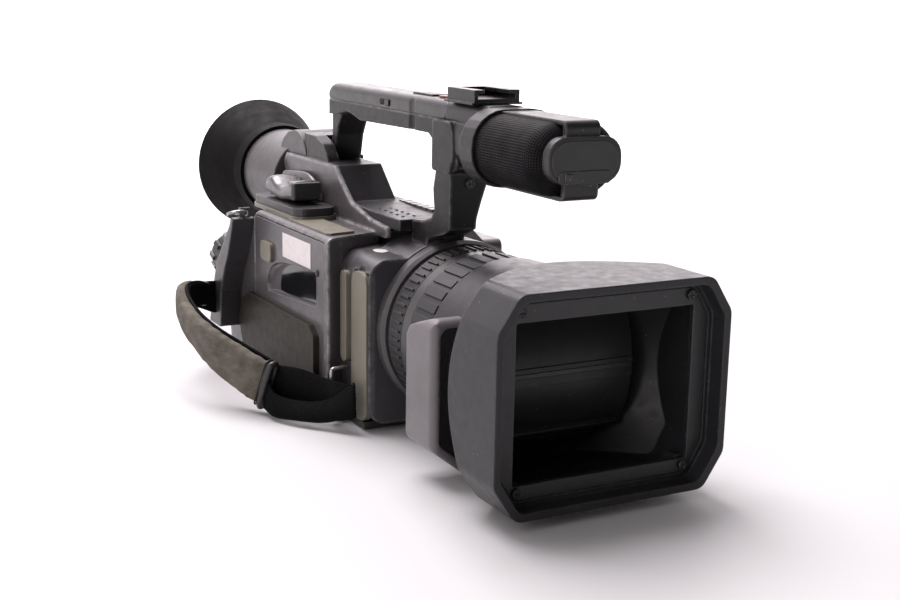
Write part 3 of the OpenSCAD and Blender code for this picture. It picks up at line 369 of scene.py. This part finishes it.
# Nodes whose finish differs from the rest of their slot, as the slot that holds the colour, a factor
# on it, and the settings of moulded(). The palm pad is polished by the hand, the emitter housing is
# lighter than the casing, and the handle and the microphone's holder are darker.
OWN_FINISHES = {
    "palm_pad": ("olive", 0.2, dict(rough=0.36, edge=0.8, specular=0.05, dust=0.0)),
    # wide, strong edge lightening on the grip: wear together with a painted highlight along its rounded
    # front edge
    "grip_shell": ("body_grey", 1.1, dict(rough=0.33, edge=3.2, wear_and_highlight=1.0, metallic=0.35)),
    "zoom_rocker": ("body_grey", 1.1, dict(rough=0.24, edge=0.8, wear_and_highlight=0.6, metallic=0.4)),
    "vf_tube": ("body_grey", 0.62, dict(rough=0.36, edge=1.5, wear_and_highlight=0.7, specular=0.45)),
    "top_deck": ("dark_grey", 0.55, dict(rough=0.34, edge=1.4, wear_and_highlight=0.8, specular=0.24)),
    "front_block": ("dark_grey", 1.5, dict(rough=0.36, edge=2.4, wear_and_highlight=0.9, metallic=0.1)),
    "strap_frame": ("dark_grey", 1.0, dict(rough=0.36, edge=1.6, wear_and_highlight=0.8)),
    "emitter_housing": ("body_grey", 1.35, dict(rough=0.36, edge=2.0)),
    "handle_upper": ("body_grey", 0.4, dict(rough=0.33, edge=1.6, wear_and_highlight=0.9, metallic=0.25)),
    "handle_lower": ("dark_grey", 0.3, dict(rough=0.34, edge=2.2, wear_and_highlight=0.9, specular=0.22)),
    "mic_holder": ("dark_grey", 0.45, dict(rough=0.36, edge=1.0, specular=0.35)),
    "mic_frame": ("dark_grey", 0.5, dict(rough=0.36, edge=1.6, specular=0.4)),
    "hood_mask": ("hood_black", 0.7, dict(rough=0.4, edge=0.8)),
}
own = {node_name: moulded(node_name + "_finish", scaled(slot_colour[slot], factor), **settings)
       for node_name, (slot, factor, settings) in OWN_FINISHES.items()}

for node_name, obj in nodes.items():
    material = own.get(node_name) or finish_for(node_slot[node_name], SOFT_EDGES.get(node_name, SMALL_EDGE))
    for index in range(len(obj.data.materials)):
        obj.data.materials[index] = material
    if not obj.data.materials:
        obj.data.materials.append(material)


# ---- mesh helpers ---------------------------------------------------------------------------

def linked(name, data):
    """A new object in the scene."""
    obj = bpy.data.objects.new(name, data)
    bpy.context.scene.collection.objects.link(obj)
    return obj


def mounted(obj, body):
    """Puts a piece on its body."""
    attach(obj, body)
    return obj


def add_piece(name, bm, material, body, smooth=True):
    """Turns a bmesh in metres into a piece that rides on a body."""
    mesh = bpy.data.meshes.new(name)
    bmesh.ops.recalc_face_normals(bm, faces=bm.faces[:])
    bm.to_mesh(mesh)
    bm.free()
    for polygon in mesh.polygons:
        polygon.use_smooth = smooth
    mesh.materials.append(material)
    return mounted(linked(name, mesh), body)


def lengths_along(points):
    """Distance walked from the first point to each of the points."""
    total = [0.0]
    for a, b in zip(points, points[1:]):
        total.append(total[-1] + (Vector(a) - Vector(b)).length)
    return total


def loft(rings, caps=True):
    """A bmesh through equal closed rings of points in millimetres, with a UV map in millimetres."""
    bm = bmesh.new()
    uv = bm.loops.layers.uv.new("UVMap")
    rows = [[bm.verts.new(Vector(p) * MM) for p in ring] for ring in rings]
    count = len(rings[0])
    along = lengths_along([ring[0] for ring in rings])
    for i in range(len(rings) - 1):
        around = lengths_along(list(rings[i]) + [rings[i][0]])
        here, there = rows[i], rows[i + 1]
        for k in range(count):
            after = (k + 1) % count
            face = bm.faces.new([here[k], here[after], there[after], there[k]])
            corners = [(along[i], around[k]), (along[i], around[k + 1]),
                       (along[i + 1], around[k + 1]), (along[i + 1], around[k])]
            for loop, corner in zip(face.loops, corners):
                loop[uv].uv = corner
    if caps:
        bm.faces.new(rows[0])
        bm.faces.new(rows[-1])
    return bm


def smooth_path(points, per_span=6):
    """Points along a Catmull-Rom curve through the given points."""
    pts = [Vector(p) for p in points]
    pts = [2 * pts[0] - pts[1]] + pts + [2 * pts[-1] - pts[-2]]
    out = []
    for i in range(1, len(pts) - 2):
        p0, p1, p2, p3 = pts[i - 1:i + 3]
        for k in range(per_span):
            t = k / per_span
            out.append(0.5 * (2 * p1 + (p2 - p0) * t + (2 * p0 - 5 * p1 + 4 * p2 - p3) * t ** 2
                              + (3 * p1 - p0 - 3 * p2 + p3) * t ** 3))
    out.append(pts[-2])
    return out


def path_neighbours(path, i):
    """Direction of a path at its point i, from the points on either side."""
    return (path[min(i + 1, len(path) - 1)] - path[max(i - 1, 0)]).normalized()


def circle_angles(count):
    """Angles of points spread evenly around a circle."""
    return [2 * math.pi * k / count for k in range(count)]


def quarter_angles(steps):
    """Angles from 0 to a right angle in equal steps."""
    return [math.pi / 2 * k / steps for k in range(steps + 1)]


def oval_section(width, height, power, count=28):
    """Points of a rounded section: power 1 is an ellipse, smaller is boxier."""
    points = []
    for a in circle_angles(count):
        c, s = math.cos(a), math.sin(a)
        points.append((math.copysign(abs(c) ** power, c) * width / 2,
                       math.copysign(abs(s) ** power, s) * height / 2))
    return points


def rounded_outline(centre, width, height, radius, per_corner=13):
    """Points of a rounded rectangle in x and z, counter-clockwise."""
    points = []
    for quarter, (sx, sz) in enumerate(((1, 1), (-1, 1), (-1, -1), (1, -1))):
        for a in quarter_angles(per_corner - 1):
            a += math.pi / 2 * quarter
            points.append((centre[0] + sx * (width / 2 - radius) + radius * math.cos(a),
                           centre[1] + sz * (height / 2 - radius) + radius * math.sin(a)))
    return points


def rounded_boxes(boxes, radius, segments=2):
    """A bmesh of boxes (x0, x1, y0, y1, z0, z1) in millimetres, with every edge rounded."""
    bm = bmesh.new()
    for x0, x1, y0, y1, z0, z1 in boxes:
        size = Vector((x1 - x0, y1 - y0, z1 - z0)) * MM
        centre = Vector((x0 + x1, y0 + y1, z0 + z1)) * MM / 2
        for v in bmesh.ops.create_cube(bm, size=1.0)["verts"]:
            v.co = Vector([v.co[i] * size[i] for i in range(3)]) + centre
    bmesh.ops.bevel(bm, geom=bm.edges[:], offset=radius * MM, segments=segments, profile=0.5,
                    affect="EDGES")
    return bm


def tubes(name, paths, radius, material, body, cyclic=False):
    """Round wires or threads through lists of points in millimetres."""
    curve = bpy.data.curves.new(name, "CURVE")
    curve.dimensions = "3D"
    curve.bevel_depth = radius * MM
    curve.bevel_resolution = 2
    curve.use_fill_caps = True
    for path in paths:
        spline = curve.splines.new("POLY")
        spline.points.add(len(path) - 1)
        for point, place in zip(spline.points, path):
            point.co = (*(Vector(place) * MM), 1.0)
        spline.use_cyclic_u = cyclic
        spline.use_smooth = True
    curve.materials.append(material)
    obj = linked(name, curve)
    bpy.context.view_layer.objects.active = obj
    obj.select_set(True)
    bpy.ops.object.convert(target="MESH")
    obj.select_set(False)
    return mounted(obj, body)


# ---- hand strap -----------------------------------------------------------------------------

# stations of the strap pad: y, distance of its outer face from the lid, lower and upper edge
PAD_STATIONS = [(131, 22, 33, 45), (126, 29, 33.5, 48), (116, 38, 33.5, 49.5), (102, 44, 32, 49),
                (86, 46.5, 28, 46), (68, 46, 22.5, 42), (50, 42.5, 16, 38), (34, 34.5, 9, 32.5),
                (19, 26, 2.5, 27)]
PAD_THICK = 6.5
LINING_THICK = 1.6
# glossy bands where the webbing leaves the pad: station, growth over the pad, wire radius
PAD_BANDS = {"front": (-1, 0.6, 1.5), "seam": (-2, 1.5, 0.5), "rear": (0, 0.4, 1.0)}

# stations of each ply of webbing: a point on its lower edge and one on its upper edge
WEBBING_THICK = 1.3
WEBBING = {
    "webbing_flap": [
        ((-78, 20, 3), (-77, 21, 22)), ((-77, 9, 1.8), (-75.5, 11, 13)),
        ((-70, -4, 2.6), (-65, -3, 11.5)), ((-61.5, -14, 3.4), (-57, -13, 14.8)),
        ((-54.5, -22.5, 6.5), (-51.5, -21.5, 22)), ((-50.5, -26.2, 7.6), (-50.5, -25.2, 23.6)),
        ((-49.1, -23, 8), (-49.1, -22, 24))],
    "webbing_inner": [
        ((-49.3, -22, 6), (-49.3, -22, 22.8)), ((-53.9, -14, 3.4), (-53.9, -14, 22.8)),
        ((-57, -5, 3.4), (-57, -5, 23)), ((-64, 8, 4), (-64, 8, 25)), ((-74, 22, 5), (-74, 22, 25))],
    "webbing_rear": [
        ((-84, 122, 33), (-84, 122, 47)), ((-76, 128.5, 31), (-76, 128.5, 46)),
        ((-67, 131.5, 27), (-67, 131.5, 45)), ((-60.6, 133, 26), (-60.6, 133, 44.4))],
}

# the eyelet lies nearly flat, its rear side a little lower
EYELET_RADIUS = 4.6
EYELET_WIRE = 1.0
EYELET_TILT = math.radians(-20)
EYELET_Y = 104
# corners of the wire loop, from the side of the block and back to it
LOOP_WIRE = 0.95
LOOP_CORNERS = [(-44.2, -5, 4), (-52.2, -5.6, 4), (-53.6, -6, 5.4), (-53.6, -6, 25.6), (-53.2, -6, 26.7),
                (-52.2, -6, 27.1), (-44.2, -5, 27.3)]


def strap_frames():
    """Outer middle point, outward and up directions and height of the strap along its length."""
    middle = smooth_path([(lid_x - d, y, (low + high) / 2) for y, d, low, high in PAD_STATIONS])
    heights = smooth_path([(high - low, 0, 0) for _, _, low, high in PAD_STATIONS])
    frames = []
    for i, point in enumerate(middle):
        along = path_neighbours(middle, i)
        outward = Vector((0, 0, 1)).cross(along).normalized()
        if outward.x > 0:
            outward = -outward
        up = along.cross(outward).normalized()
        if up.z < 0:
            up = -up
        frames.append((point, outward, up, heights[i].x))
    return frames


def strap_band(frames, thick, offset, shrink):
    """Loft of a padded band along the strap, its outer face set inwards by offset."""
    rings = []
    last = len(frames) - 1
    for i, (point, outward, up, height) in enumerate(frames):
        full = min(1.0, 0.5 + 0.25 * min(i, last - i))
        middle = point - outward * (offset + thick / 2)
        rings.append([middle + outward * a * full + up * b
                      for a, b in oval_section(thick, height - shrink, 0.45)])
    return loft(rings)


def simulate_padding(obj, pressure=4.0, limit=0.9, voxel=2.2, steps=20):
    """Lets the padding swell as cloth for a moment, moving no point by more than limit millimetres."""
    bpy.context.view_layer.objects.active = obj
    remesh = obj.modifiers.new("remesh", "REMESH")
    remesh.mode = "VOXEL"
    remesh.voxel_size = voxel * MM
    bpy.ops.object.modifier_apply(modifier="remesh")
    start = [v.co.copy() for v in obj.data.vertices]
    cloth = obj.modifiers.new("cloth", "CLOTH")
    cloth.settings.use_pressure = True
    cloth.settings.uniform_pressure_force = pressure
    cloth.settings.effector_weights.gravity = 0.0
    for step in range(1, steps + 1):
        bpy.context.scene.frame_set(step)
    bpy.ops.object.modifier_apply(modifier="cloth")
    bpy.context.scene.frame_set(1)
    for vertex, before in zip(obj.data.vertices, start):
        move = vertex.co - before
        if move.length > limit * MM:
            vertex.co = before + move.normalized() * limit * MM
    smooth = obj.modifiers.new("smooth", "SMOOTH")
    smooth.iterations = 5
    bpy.ops.object.modifier_apply(modifier="smooth")
    subdivide = obj.modifiers.new("subdivide", "SUBSURF")
    subdivide.levels = 1
    subdivide.render_levels = 1
    for polygon in obj.data.polygons:
        polygon.use_smooth = True


def build_strap_pad():
    """Suede pad with its black lining, bound edges and glossy bands."""
    frames = strap_frames()
    cover = add_piece("strap_cover", strap_band(frames, PAD_THICK, 0.0, 0.0), finish_for("suede"),
                      "chassis")
    simulate_padding(cover)
    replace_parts(cover, "strap_pad")
    black = finish_for("webbing")
    lining = strap_band(frames, LINING_THICK, PAD_THICK - 0.6, 2.5)
    add_piece("strap_lining", lining, black, "chassis")
    edges = []
    for side in (1, -1):
        edges.append([point - outward * PAD_THICK * 0.9 + up * side * (height / 2 - 1.0)
                      for point, outward, up, height in frames])
    tubes("strap_binding", edges, 0.9, black, "chassis")
    gloss = finish_for("black_plastic")
    for label, (station, grow, radius) in PAD_BANDS.items():
        point, outward, up, height = frames[station]
        section = oval_section(PAD_THICK * 0.7 + grow, height * 0.97 + grow * 0.4, 0.4, 40)
        ring = [point - outward * PAD_THICK / 2 + outward * a + up * b for a, b in section]
        tubes("strap_band_" + label, [ring], radius, gloss, "chassis", cyclic=True)


def ribbon(name, stations):
    """Flat webbing through stations of (lower point, upper point)."""
    low = smooth_path([s[0] for s in stations], 8)
    high = smooth_path([s[1] for s in stations], 8)
    rings = []
    for i in range(len(low)):
        up = (high[i] - low[i]).normalized()
        outward = path_neighbours(low, i).cross(up).normalized() * (WEBBING_THICK / 2)
        soft = up * 0.5
        rings.append([low[i] - outward + soft, low[i], low[i] + outward + soft,
                      high[i] + outward - soft, high[i], high[i] - outward - soft])
    return add_piece(name, loft(rings), finish_for("webbing"), "chassis")


def build_webbing():
    """The strap's webbing: its loose flap, the ply under it, and the one behind the pad."""
    for name, stations in WEBBING.items():
        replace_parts(ribbon(name, stations), "strap_webbing")


def build_rings():
    """Eyelet on the rear of the grip, and the wire loop inside the front end of the webbing."""
    steel = finish_for("steel")
    low, high = box_mm("strap_rings")
    middle = Vector((low.x + EYELET_RADIUS + EYELET_WIRE, EYELET_Y,
                     high.z - EYELET_WIRE - EYELET_RADIUS * abs(math.sin(EYELET_TILT))))
    ring = []
    for a in circle_angles(32):
        across = math.sin(a)
        ring.append(middle + EYELET_RADIUS * Vector((math.cos(a), across * math.cos(EYELET_TILT),
                                                     across * math.sin(EYELET_TILT))))
    eyelet = tubes("strap_eyelet", [ring], EYELET_WIRE, steel, "chassis", cyclic=True)
    wire = tubes("strap_wire", [LOOP_CORNERS], LOOP_WIRE, steel, "chassis")
    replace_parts(eyelet, "strap_rings")
    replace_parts(wire, "strap_rings")


# ---- microphone -----------------------------------------------------------------------------

MIC_NOSE = 8.5      # depth of the round nose of wire mesh
MIC_CORNER = 14     # corner radius of the mesh's section
# plates on the front: width, height, height over the middle, depth
MIC_PLATES = {"mic_badge": (31.0, 15.5, 0.6, 0.35), "mic_slider_bed": (25.0, 5.4, -6.0, 0.8)}


def build_microphone():
    """Woven mesh with straight sides and a round nose, and the plates on the front."""
    low, high = box_mm("mic_grille")
    centre = ((low.x + high.x) / 2, (low.z + high.z) / 2)
    width, height = high.x - low.x, high.z - low.z
    profile = [(high.y, 0.2), (high.y - 12, 0.0), (high.y - 24, 0.0)]
    for a in quarter_angles(8):
        profile.append((low.y + MIC_NOSE * (1 - math.sin(a)), MIC_NOSE * (1 - math.cos(a))))
    rings = []
    for y, inset in profile:
        outline = rounded_outline(centre, width - 2 * inset, height - 2 * inset, MIC_CORNER - 0.9 * inset)
        rings.append([(x, y, z) for x, z in outline])
    weave = add_piece("mic_weave", loft(rings), finish_for("mesh"), "chassis")
    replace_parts(weave, "mic_grille")
    front = box_mm("mic_frame")[0].y
    gloss = finish_for("black_plastic")
    for name, (w, h, rise, depth) in MIC_PLATES.items():
        rings = []
        for out, inset in ((-0.6, 0.0), (depth * 0.6, 0.0), (depth, 0.5)):
            outline = rounded_outline((centre[0], centre[1] + rise), w - inset, h - inset,
                                      h / 2 - 0.5 * inset - 0.3)
            rings.append([(x, front - out, z) for x, z in outline])
        add_piece(name, loft(rings), gloss, "chassis", False)
    x, z = centre[0] - 8, centre[1] - 6
    half = 1.8
    slider = rounded_boxes([(x - half, x + half, front - 1.3, front, z - half, z + half)], 0.4)
    add_piece("mic_slider", slider, finish_for("dark_grey"), "chassis", False)


# ---- cassette side --------------------------------------------------------------------------

# swept hollow in the lid, as y and z around its rim
SCOOP_RIM = [(14, 70.4), (36, 69), (57, 67.6), (68, 65.6), (76, 62), (80, 57.2), (81.5, 52), (80.5, 48.6),
             (66, 49.4), (40, 51.2), (14, 53.2)]
SCOOP_DEPTH = 2.6
SCOOP_MIDDLE_Z = 59.2
SCOOP_SWEEP_Y = 50      # where the hollow starts to narrow towards its rear end
LABEL_BOX = (21, 58.5, 70.6, 83.0)
LID_SCREW = (12.7, 70.3)


def build_lid_details():
    """Swept hollow with its glossy window, the blank label and the lid's screw."""
    edge = []
    for a, b in zip(SCOOP_RIM, SCOOP_RIM[1:] + SCOOP_RIM[:1]):
        edge += [Vector(a).lerp(Vector(b), k / 4) for k in range(4)]
    sweep_length = max(y for y, _ in SCOOP_RIM) - SCOOP_SWEEP_Y
    rings = []
    for t in quarter_angles(8):
        ring = []
        for p in edge:
            pull = max(0.0, (p.x - SCOOP_SWEEP_Y) / sweep_length)
            narrow = 0.95 - 0.16 * pull
            inner = Vector((p.x - 13 * pull, SCOOP_MIDDLE_Z + (p.y - SCOOP_MIDDLE_Z) * narrow))
            spot = p.lerp(inner, 1 - math.cos(t))
            ring.append((lid_x + 0.04 + SCOOP_DEPTH * math.sin(t), spot.x, spot.y))
        rings.append(ring)
    scoop = add_piece("lid_scoop", loft(rings, caps=False), finish_for("body_grey"), "cassette_door")
    pane_rings = [[(x + dx, y, z) for x, y, z in rings[-1]] for dx in (-0.15, 0.35)]
    smoked = glossy("lid_pane", (0.012, 0.012, 0.014), 0.05, alpha=0.75)
    pane = add_piece("lid_pane", loft(pane_rings), smoked, "cassette_door", False)
    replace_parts(scoop, "lid_window")
    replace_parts(pane, "lid_window")
    label = rounded_boxes([(lid_x - 0.22, lid_x, *LABEL_BOX)], 0.08, 1)
    add_piece("lid_label", label, paper("label_paper"), "cassette_door", False)
    cross_screw("lid_screw", (lid_x, *LID_SCREW), 1.9, "cassette_door")


def cross_screw(name, place, radius, body):
    """Small domed screw head facing the grip side, with a black cross painted as the shade in its cross
    slot.
    """
    x, y, z = place
    rings = []
    for out, r in ((0.0, radius), (0.35, radius), (0.6, radius * 0.8), (0.72, radius * 0.45)):
        rings.append([(x - out, y + r * math.cos(a), z + r * math.sin(a)) for a in circle_angles(28)])
    add_piece(name, loft(rings), finish_for("dark_metal"), body)
    arm, half = radius * 0.62, radius * 0.16
    # black cross painted as the shade in the screw's cross recess
    slots = rounded_boxes([(x - 0.76, x - 0.4, y - arm, y + arm, z - half, z + half),
                           (x - 0.76, x - 0.4, y - half, y + half, z - arm, z + arm)], 0.05, 1)
    add_piece(name + "_slots", slots, finish_for("black_plastic"), body, False)


# ---- small details --------------------------------------------------------------------------

BLOCK_MARK = (-27.5, -5.0, 82.5)    # middle of the blank oval on top of the front block


def build_block_details():
    """Blank white oval on the block, and a black strip painted as the shade in the gap between the
    shutter's doors.
    """
    x, y, z = BLOCK_MARK
    oval = [[(x + a, y + b, z + rise) for a, b in oval_section(6.5 - inset, 9.5 - inset, 1.0, 32)]
            for rise, inset in ((-0.2, 0.0), (0.12, 0.0), (0.16, 0.4))]
    add_piece("block_mark", loft(oval), paper("white_ink"), "chassis")
    # a black strip painted as the shade in the gap between the shutter's doors
    seam_y = box_mm("shutter_upper")[0].y
    seam_half = 33.6
    seam = rounded_boxes([(-seam_half, seam_half, seam_y - 0.35, seam_y + 0.3, lens_z - 0.1, lens_z + 2.0)],
                         0.2)
    add_piece("shutter_seam_shade", seam, finish_for("black_plastic"), "shutter_upper", False)


def build_zoom_rocker():
    """Saddle for the finger, raised at its rear end and hollow in its middle, and a pad at its front."""
    low, high = box_mm("zoom_rocker")
    middle_x, pivot_y = (low.x + high.x) / 2, (low.y + high.y) / 2
    width = high.x - low.x - 0.4
    # places along the rocker, each with its height as a part of the whole
    stations = [(high.y - 0.5, 0.5), (high.y - 2.5, 0.86), (high.y - 8, 0.96), (high.y - 15, 0.62),
                (low.y + 17, 0.5), (low.y + 11, 0.72), (low.y + 5.5, 1.0), (low.y + 1.2, 0.98)]
    floor_z = low.z + 2.6
    rings = []
    for point in smooth_path([(0, y, floor_z + (high.z - floor_z) * lift) for y, lift in stations]):
        # the underside rises towards both ends, which leaves room for the tilt
        under = low.z - 0.4 + 0.12 * max(0.0, abs(point.y - pivot_y) - 2)
        height = point.z - under
        rings.append([(middle_x + a, point.y, point.z - height / 2 + b)
                      for a, b in oval_section(width, height, 0.45)])
    saddle = add_piece("rocker_saddle", loft(rings), own["zoom_rocker"], "zoom_rocker")
    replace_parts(saddle, "zoom_rocker")
    pad = rounded_boxes([(low.x + 0.8, high.x - 0.8, low.y - 0.7, low.y + 8.5, low.z + 1.6, high.z - 0.6)],
                        0.9)
    pad = add_piece("rocker_pad", pad, finish_for("black_plastic"), "zoom_rocker", False)
    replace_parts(pad, "zoom_rocker")


# side view of the guard beside the rocker, as y and z, and the point that its faces shrink towards
GUARD_OUTLINE = [(126, 96.2), (128, 100), (126, 104.6), (121, 106.4), (97, 108.6), (86, 107.6), (78, 104),
                 (72, 98.5), (71, 96.2)]
GUARD_MIDDLE = (98.5, 101)
# distance from the rocker's side, and size of the outline there
GUARD_LAYERS = [(0.5, 0.93), (1.1, 0.99), (2.0, 1.0), (2.8, 0.97)]


def build_rocker_guard():
    """Rounded guard that stands beside the zoom rocker."""
    side_x = box_mm("zoom_rocker")[1].x
    outline = smooth_path([(0, y, z) for y, z in GUARD_OUTLINE], 5)
    y, z = GUARD_MIDDLE
    rings = [[(side_x + out, y + (p.y - y) * size, z + (p.z - z) * size) for p in outline]
             for out, size in GUARD_LAYERS]
    add_piece("rocker_guard", loft(rings), finish_for("body_grey", 0.8), "chassis")


def build_rear_details():
    """Ridges on the battery, and black bars for the speaker's slots, painted as the shade inside them."""
    black = finish_for("black_plastic")
    low, high = box_mm("battery_pack")
    ridges = []
    for k in range(6):
        z = low.z + 8 + 4.2 * k
        ridges.append((low.x + 6, high.x - 6, high.y - 0.2, high.y + 0.5, z, z + 1.6))
    add_piece("battery_ridges", rounded_boxes(ridges, 0.3), black, "battery", False)
    # black bars painted as the shade inside the speaker's slots
    slots = []
    for k in range(7):
        z = 48 + 2.6 * k
        slots.append((43.6, 44.12, 114, 130, z, z + 1.1))
    add_piece("speaker_slot_shade", rounded_boxes(slots, 0.25), black, "chassis", False)


build_strap_pad()
build_webbing()
build_rings()
build_microphone()
build_lid_details()
build_block_details()
build_zoom_rocker()
build_rocker_guard()
build_rear_details()


# ---- light, floor and camera ----------------------------------------------------------------

WHITE = (1.0, 1.0, 1.0, 1.0)
STUDIO_TINT = (1.0, 0.93, 0.965)
OBJECT_MIDDLE = (0.0, 0.0, 0.08)
# the floor glows though it is no lamp: a painted glow that rises between these distances
GLOW_START, GLOW_END = 0.55, 1.5    # distances from the object between which the floor fades to white


def area_light(name, place, size, power):
    """Rectangular soft light aimed at the object's middle."""
    light = bpy.data.lights.new(name, "AREA")
    light.shape = "RECTANGLE"
    light.size, light.size_y = size
    light.energy = power
    light.color = STUDIO_TINT
    obj = linked(name, light)
    obj.location = place
    obj.rotation_euler = (Vector(OBJECT_MIDDLE) - Vector(place)).to_track_quat("-Z", "Y").to_euler()


def floor_material():
    """Pale paper with a painted glow that rises away from the object and turns the floor pure white there.
    """
    material, tree, shader = make_material("floor_paper")
    place = object_coords(tree)
    tone = mix_colour(tree, noise(tree, place, 300.0, 2.0), (0.47, 0.475, 0.475), (0.49, 0.495, 0.495))
    tree.links.new(tone, shader.inputs["Base Color"])
    shader.inputs["Roughness"].default_value = 0.55
    shader.inputs["Emission Color"].default_value = WHITE
    # painted glow: emission that rises with distance from the object
    floor_glow = remap(tree, vector_math(tree, "LENGTH", place), GLOW_START, GLOW_END)
    tree.links.new(floor_glow, shader.inputs["Emission Strength"])
    return material


def build_floor():
    """Wide floor just under the object."""
    bm = bmesh.new()
    bmesh.ops.create_grid(bm, x_segments=2, y_segments=2, size=8.0)
    mesh = bpy.data.meshes.new("floor")
    bm.to_mesh(mesh)
    bm.free()
    mesh.materials.append(floor_material())
    floor = linked("floor", mesh)
    floor.location = (0.0, 0.0, -0.0004)


def build_world():
    """White backdrop behind and to the left, a dark room behind the camera."""
    world = bpy.data.worlds.new("studio")
    bpy.context.scene.world = world
    world.use_nodes = True
    tree = world.node_tree
    towards = add_node(tree, "TexCoord").outputs["Generated"]
    backdrop = Vector((-0.5, 0.8, 0.25)).normalized()
    strength = remap(tree, vector_math(tree, "DOT_PRODUCT", towards, backdrop), -0.3, 0.45, 0.03, 1.1)
    # a brighter patch low behind the object, mirrored by faces that look up
    glow_from = Vector((0.4, 0.88, 0.26)).normalized()
    glow = remap(tree, vector_math(tree, "DOT_PRODUCT", towards, glow_from), 0.75, 0.97, 0.0, 1.6)
    strength = math_node(tree, "ADD", strength, glow)
    seen = add_node(tree, "LightPath").outputs["Is Camera Ray"]
    strength = math_node(tree, "MAXIMUM", strength, math_node(tree, "MULTIPLY", seen, 1.2))
    background = tree.nodes["Background"]
    background.inputs["Color"].default_value = (*STUDIO_TINT, 1.0)
    tree.links.new(strength, background.inputs["Strength"])


def build_camera():
    """Low viewpoint in front of the hood, a little to its grip side."""
    yaw, pitch, roll = 0.4921, 0.2184, 0.0171
    forward = Vector((math.sin(yaw) * math.cos(pitch), math.cos(yaw) * math.cos(pitch), -math.sin(pitch)))
    level = Vector((math.cos(yaw), -math.sin(yaw), 0.0))
    upright = level.cross(forward)
    right = math.cos(roll) * level + math.sin(roll) * upright
    up = math.cos(roll) * upright - math.sin(roll) * level
    data = bpy.data.cameras.new("photo_camera")
    data.lens = 54.5
    data.sensor_width = 36.0
    data.clip_start = 0.01
    camera = linked("photo_camera", data)
    turn = Matrix((right, up, -forward)).transposed().to_4x4()
    camera.matrix_world = Matrix.Translation((-0.3012, -0.5868, 0.2014)) @ turn
    bpy.context.scene.camera = camera


build_floor()
build_world()
area_light("overhead", (-0.15, 0.8, 1.8), (1.5, 1.3), 72.0)
area_light("left", (-1.4, -0.75, 0.45), (0.5, 0.9), 5.0)
build_camera()
bpy.context.scene.view_settings.view_transform = "Standard"
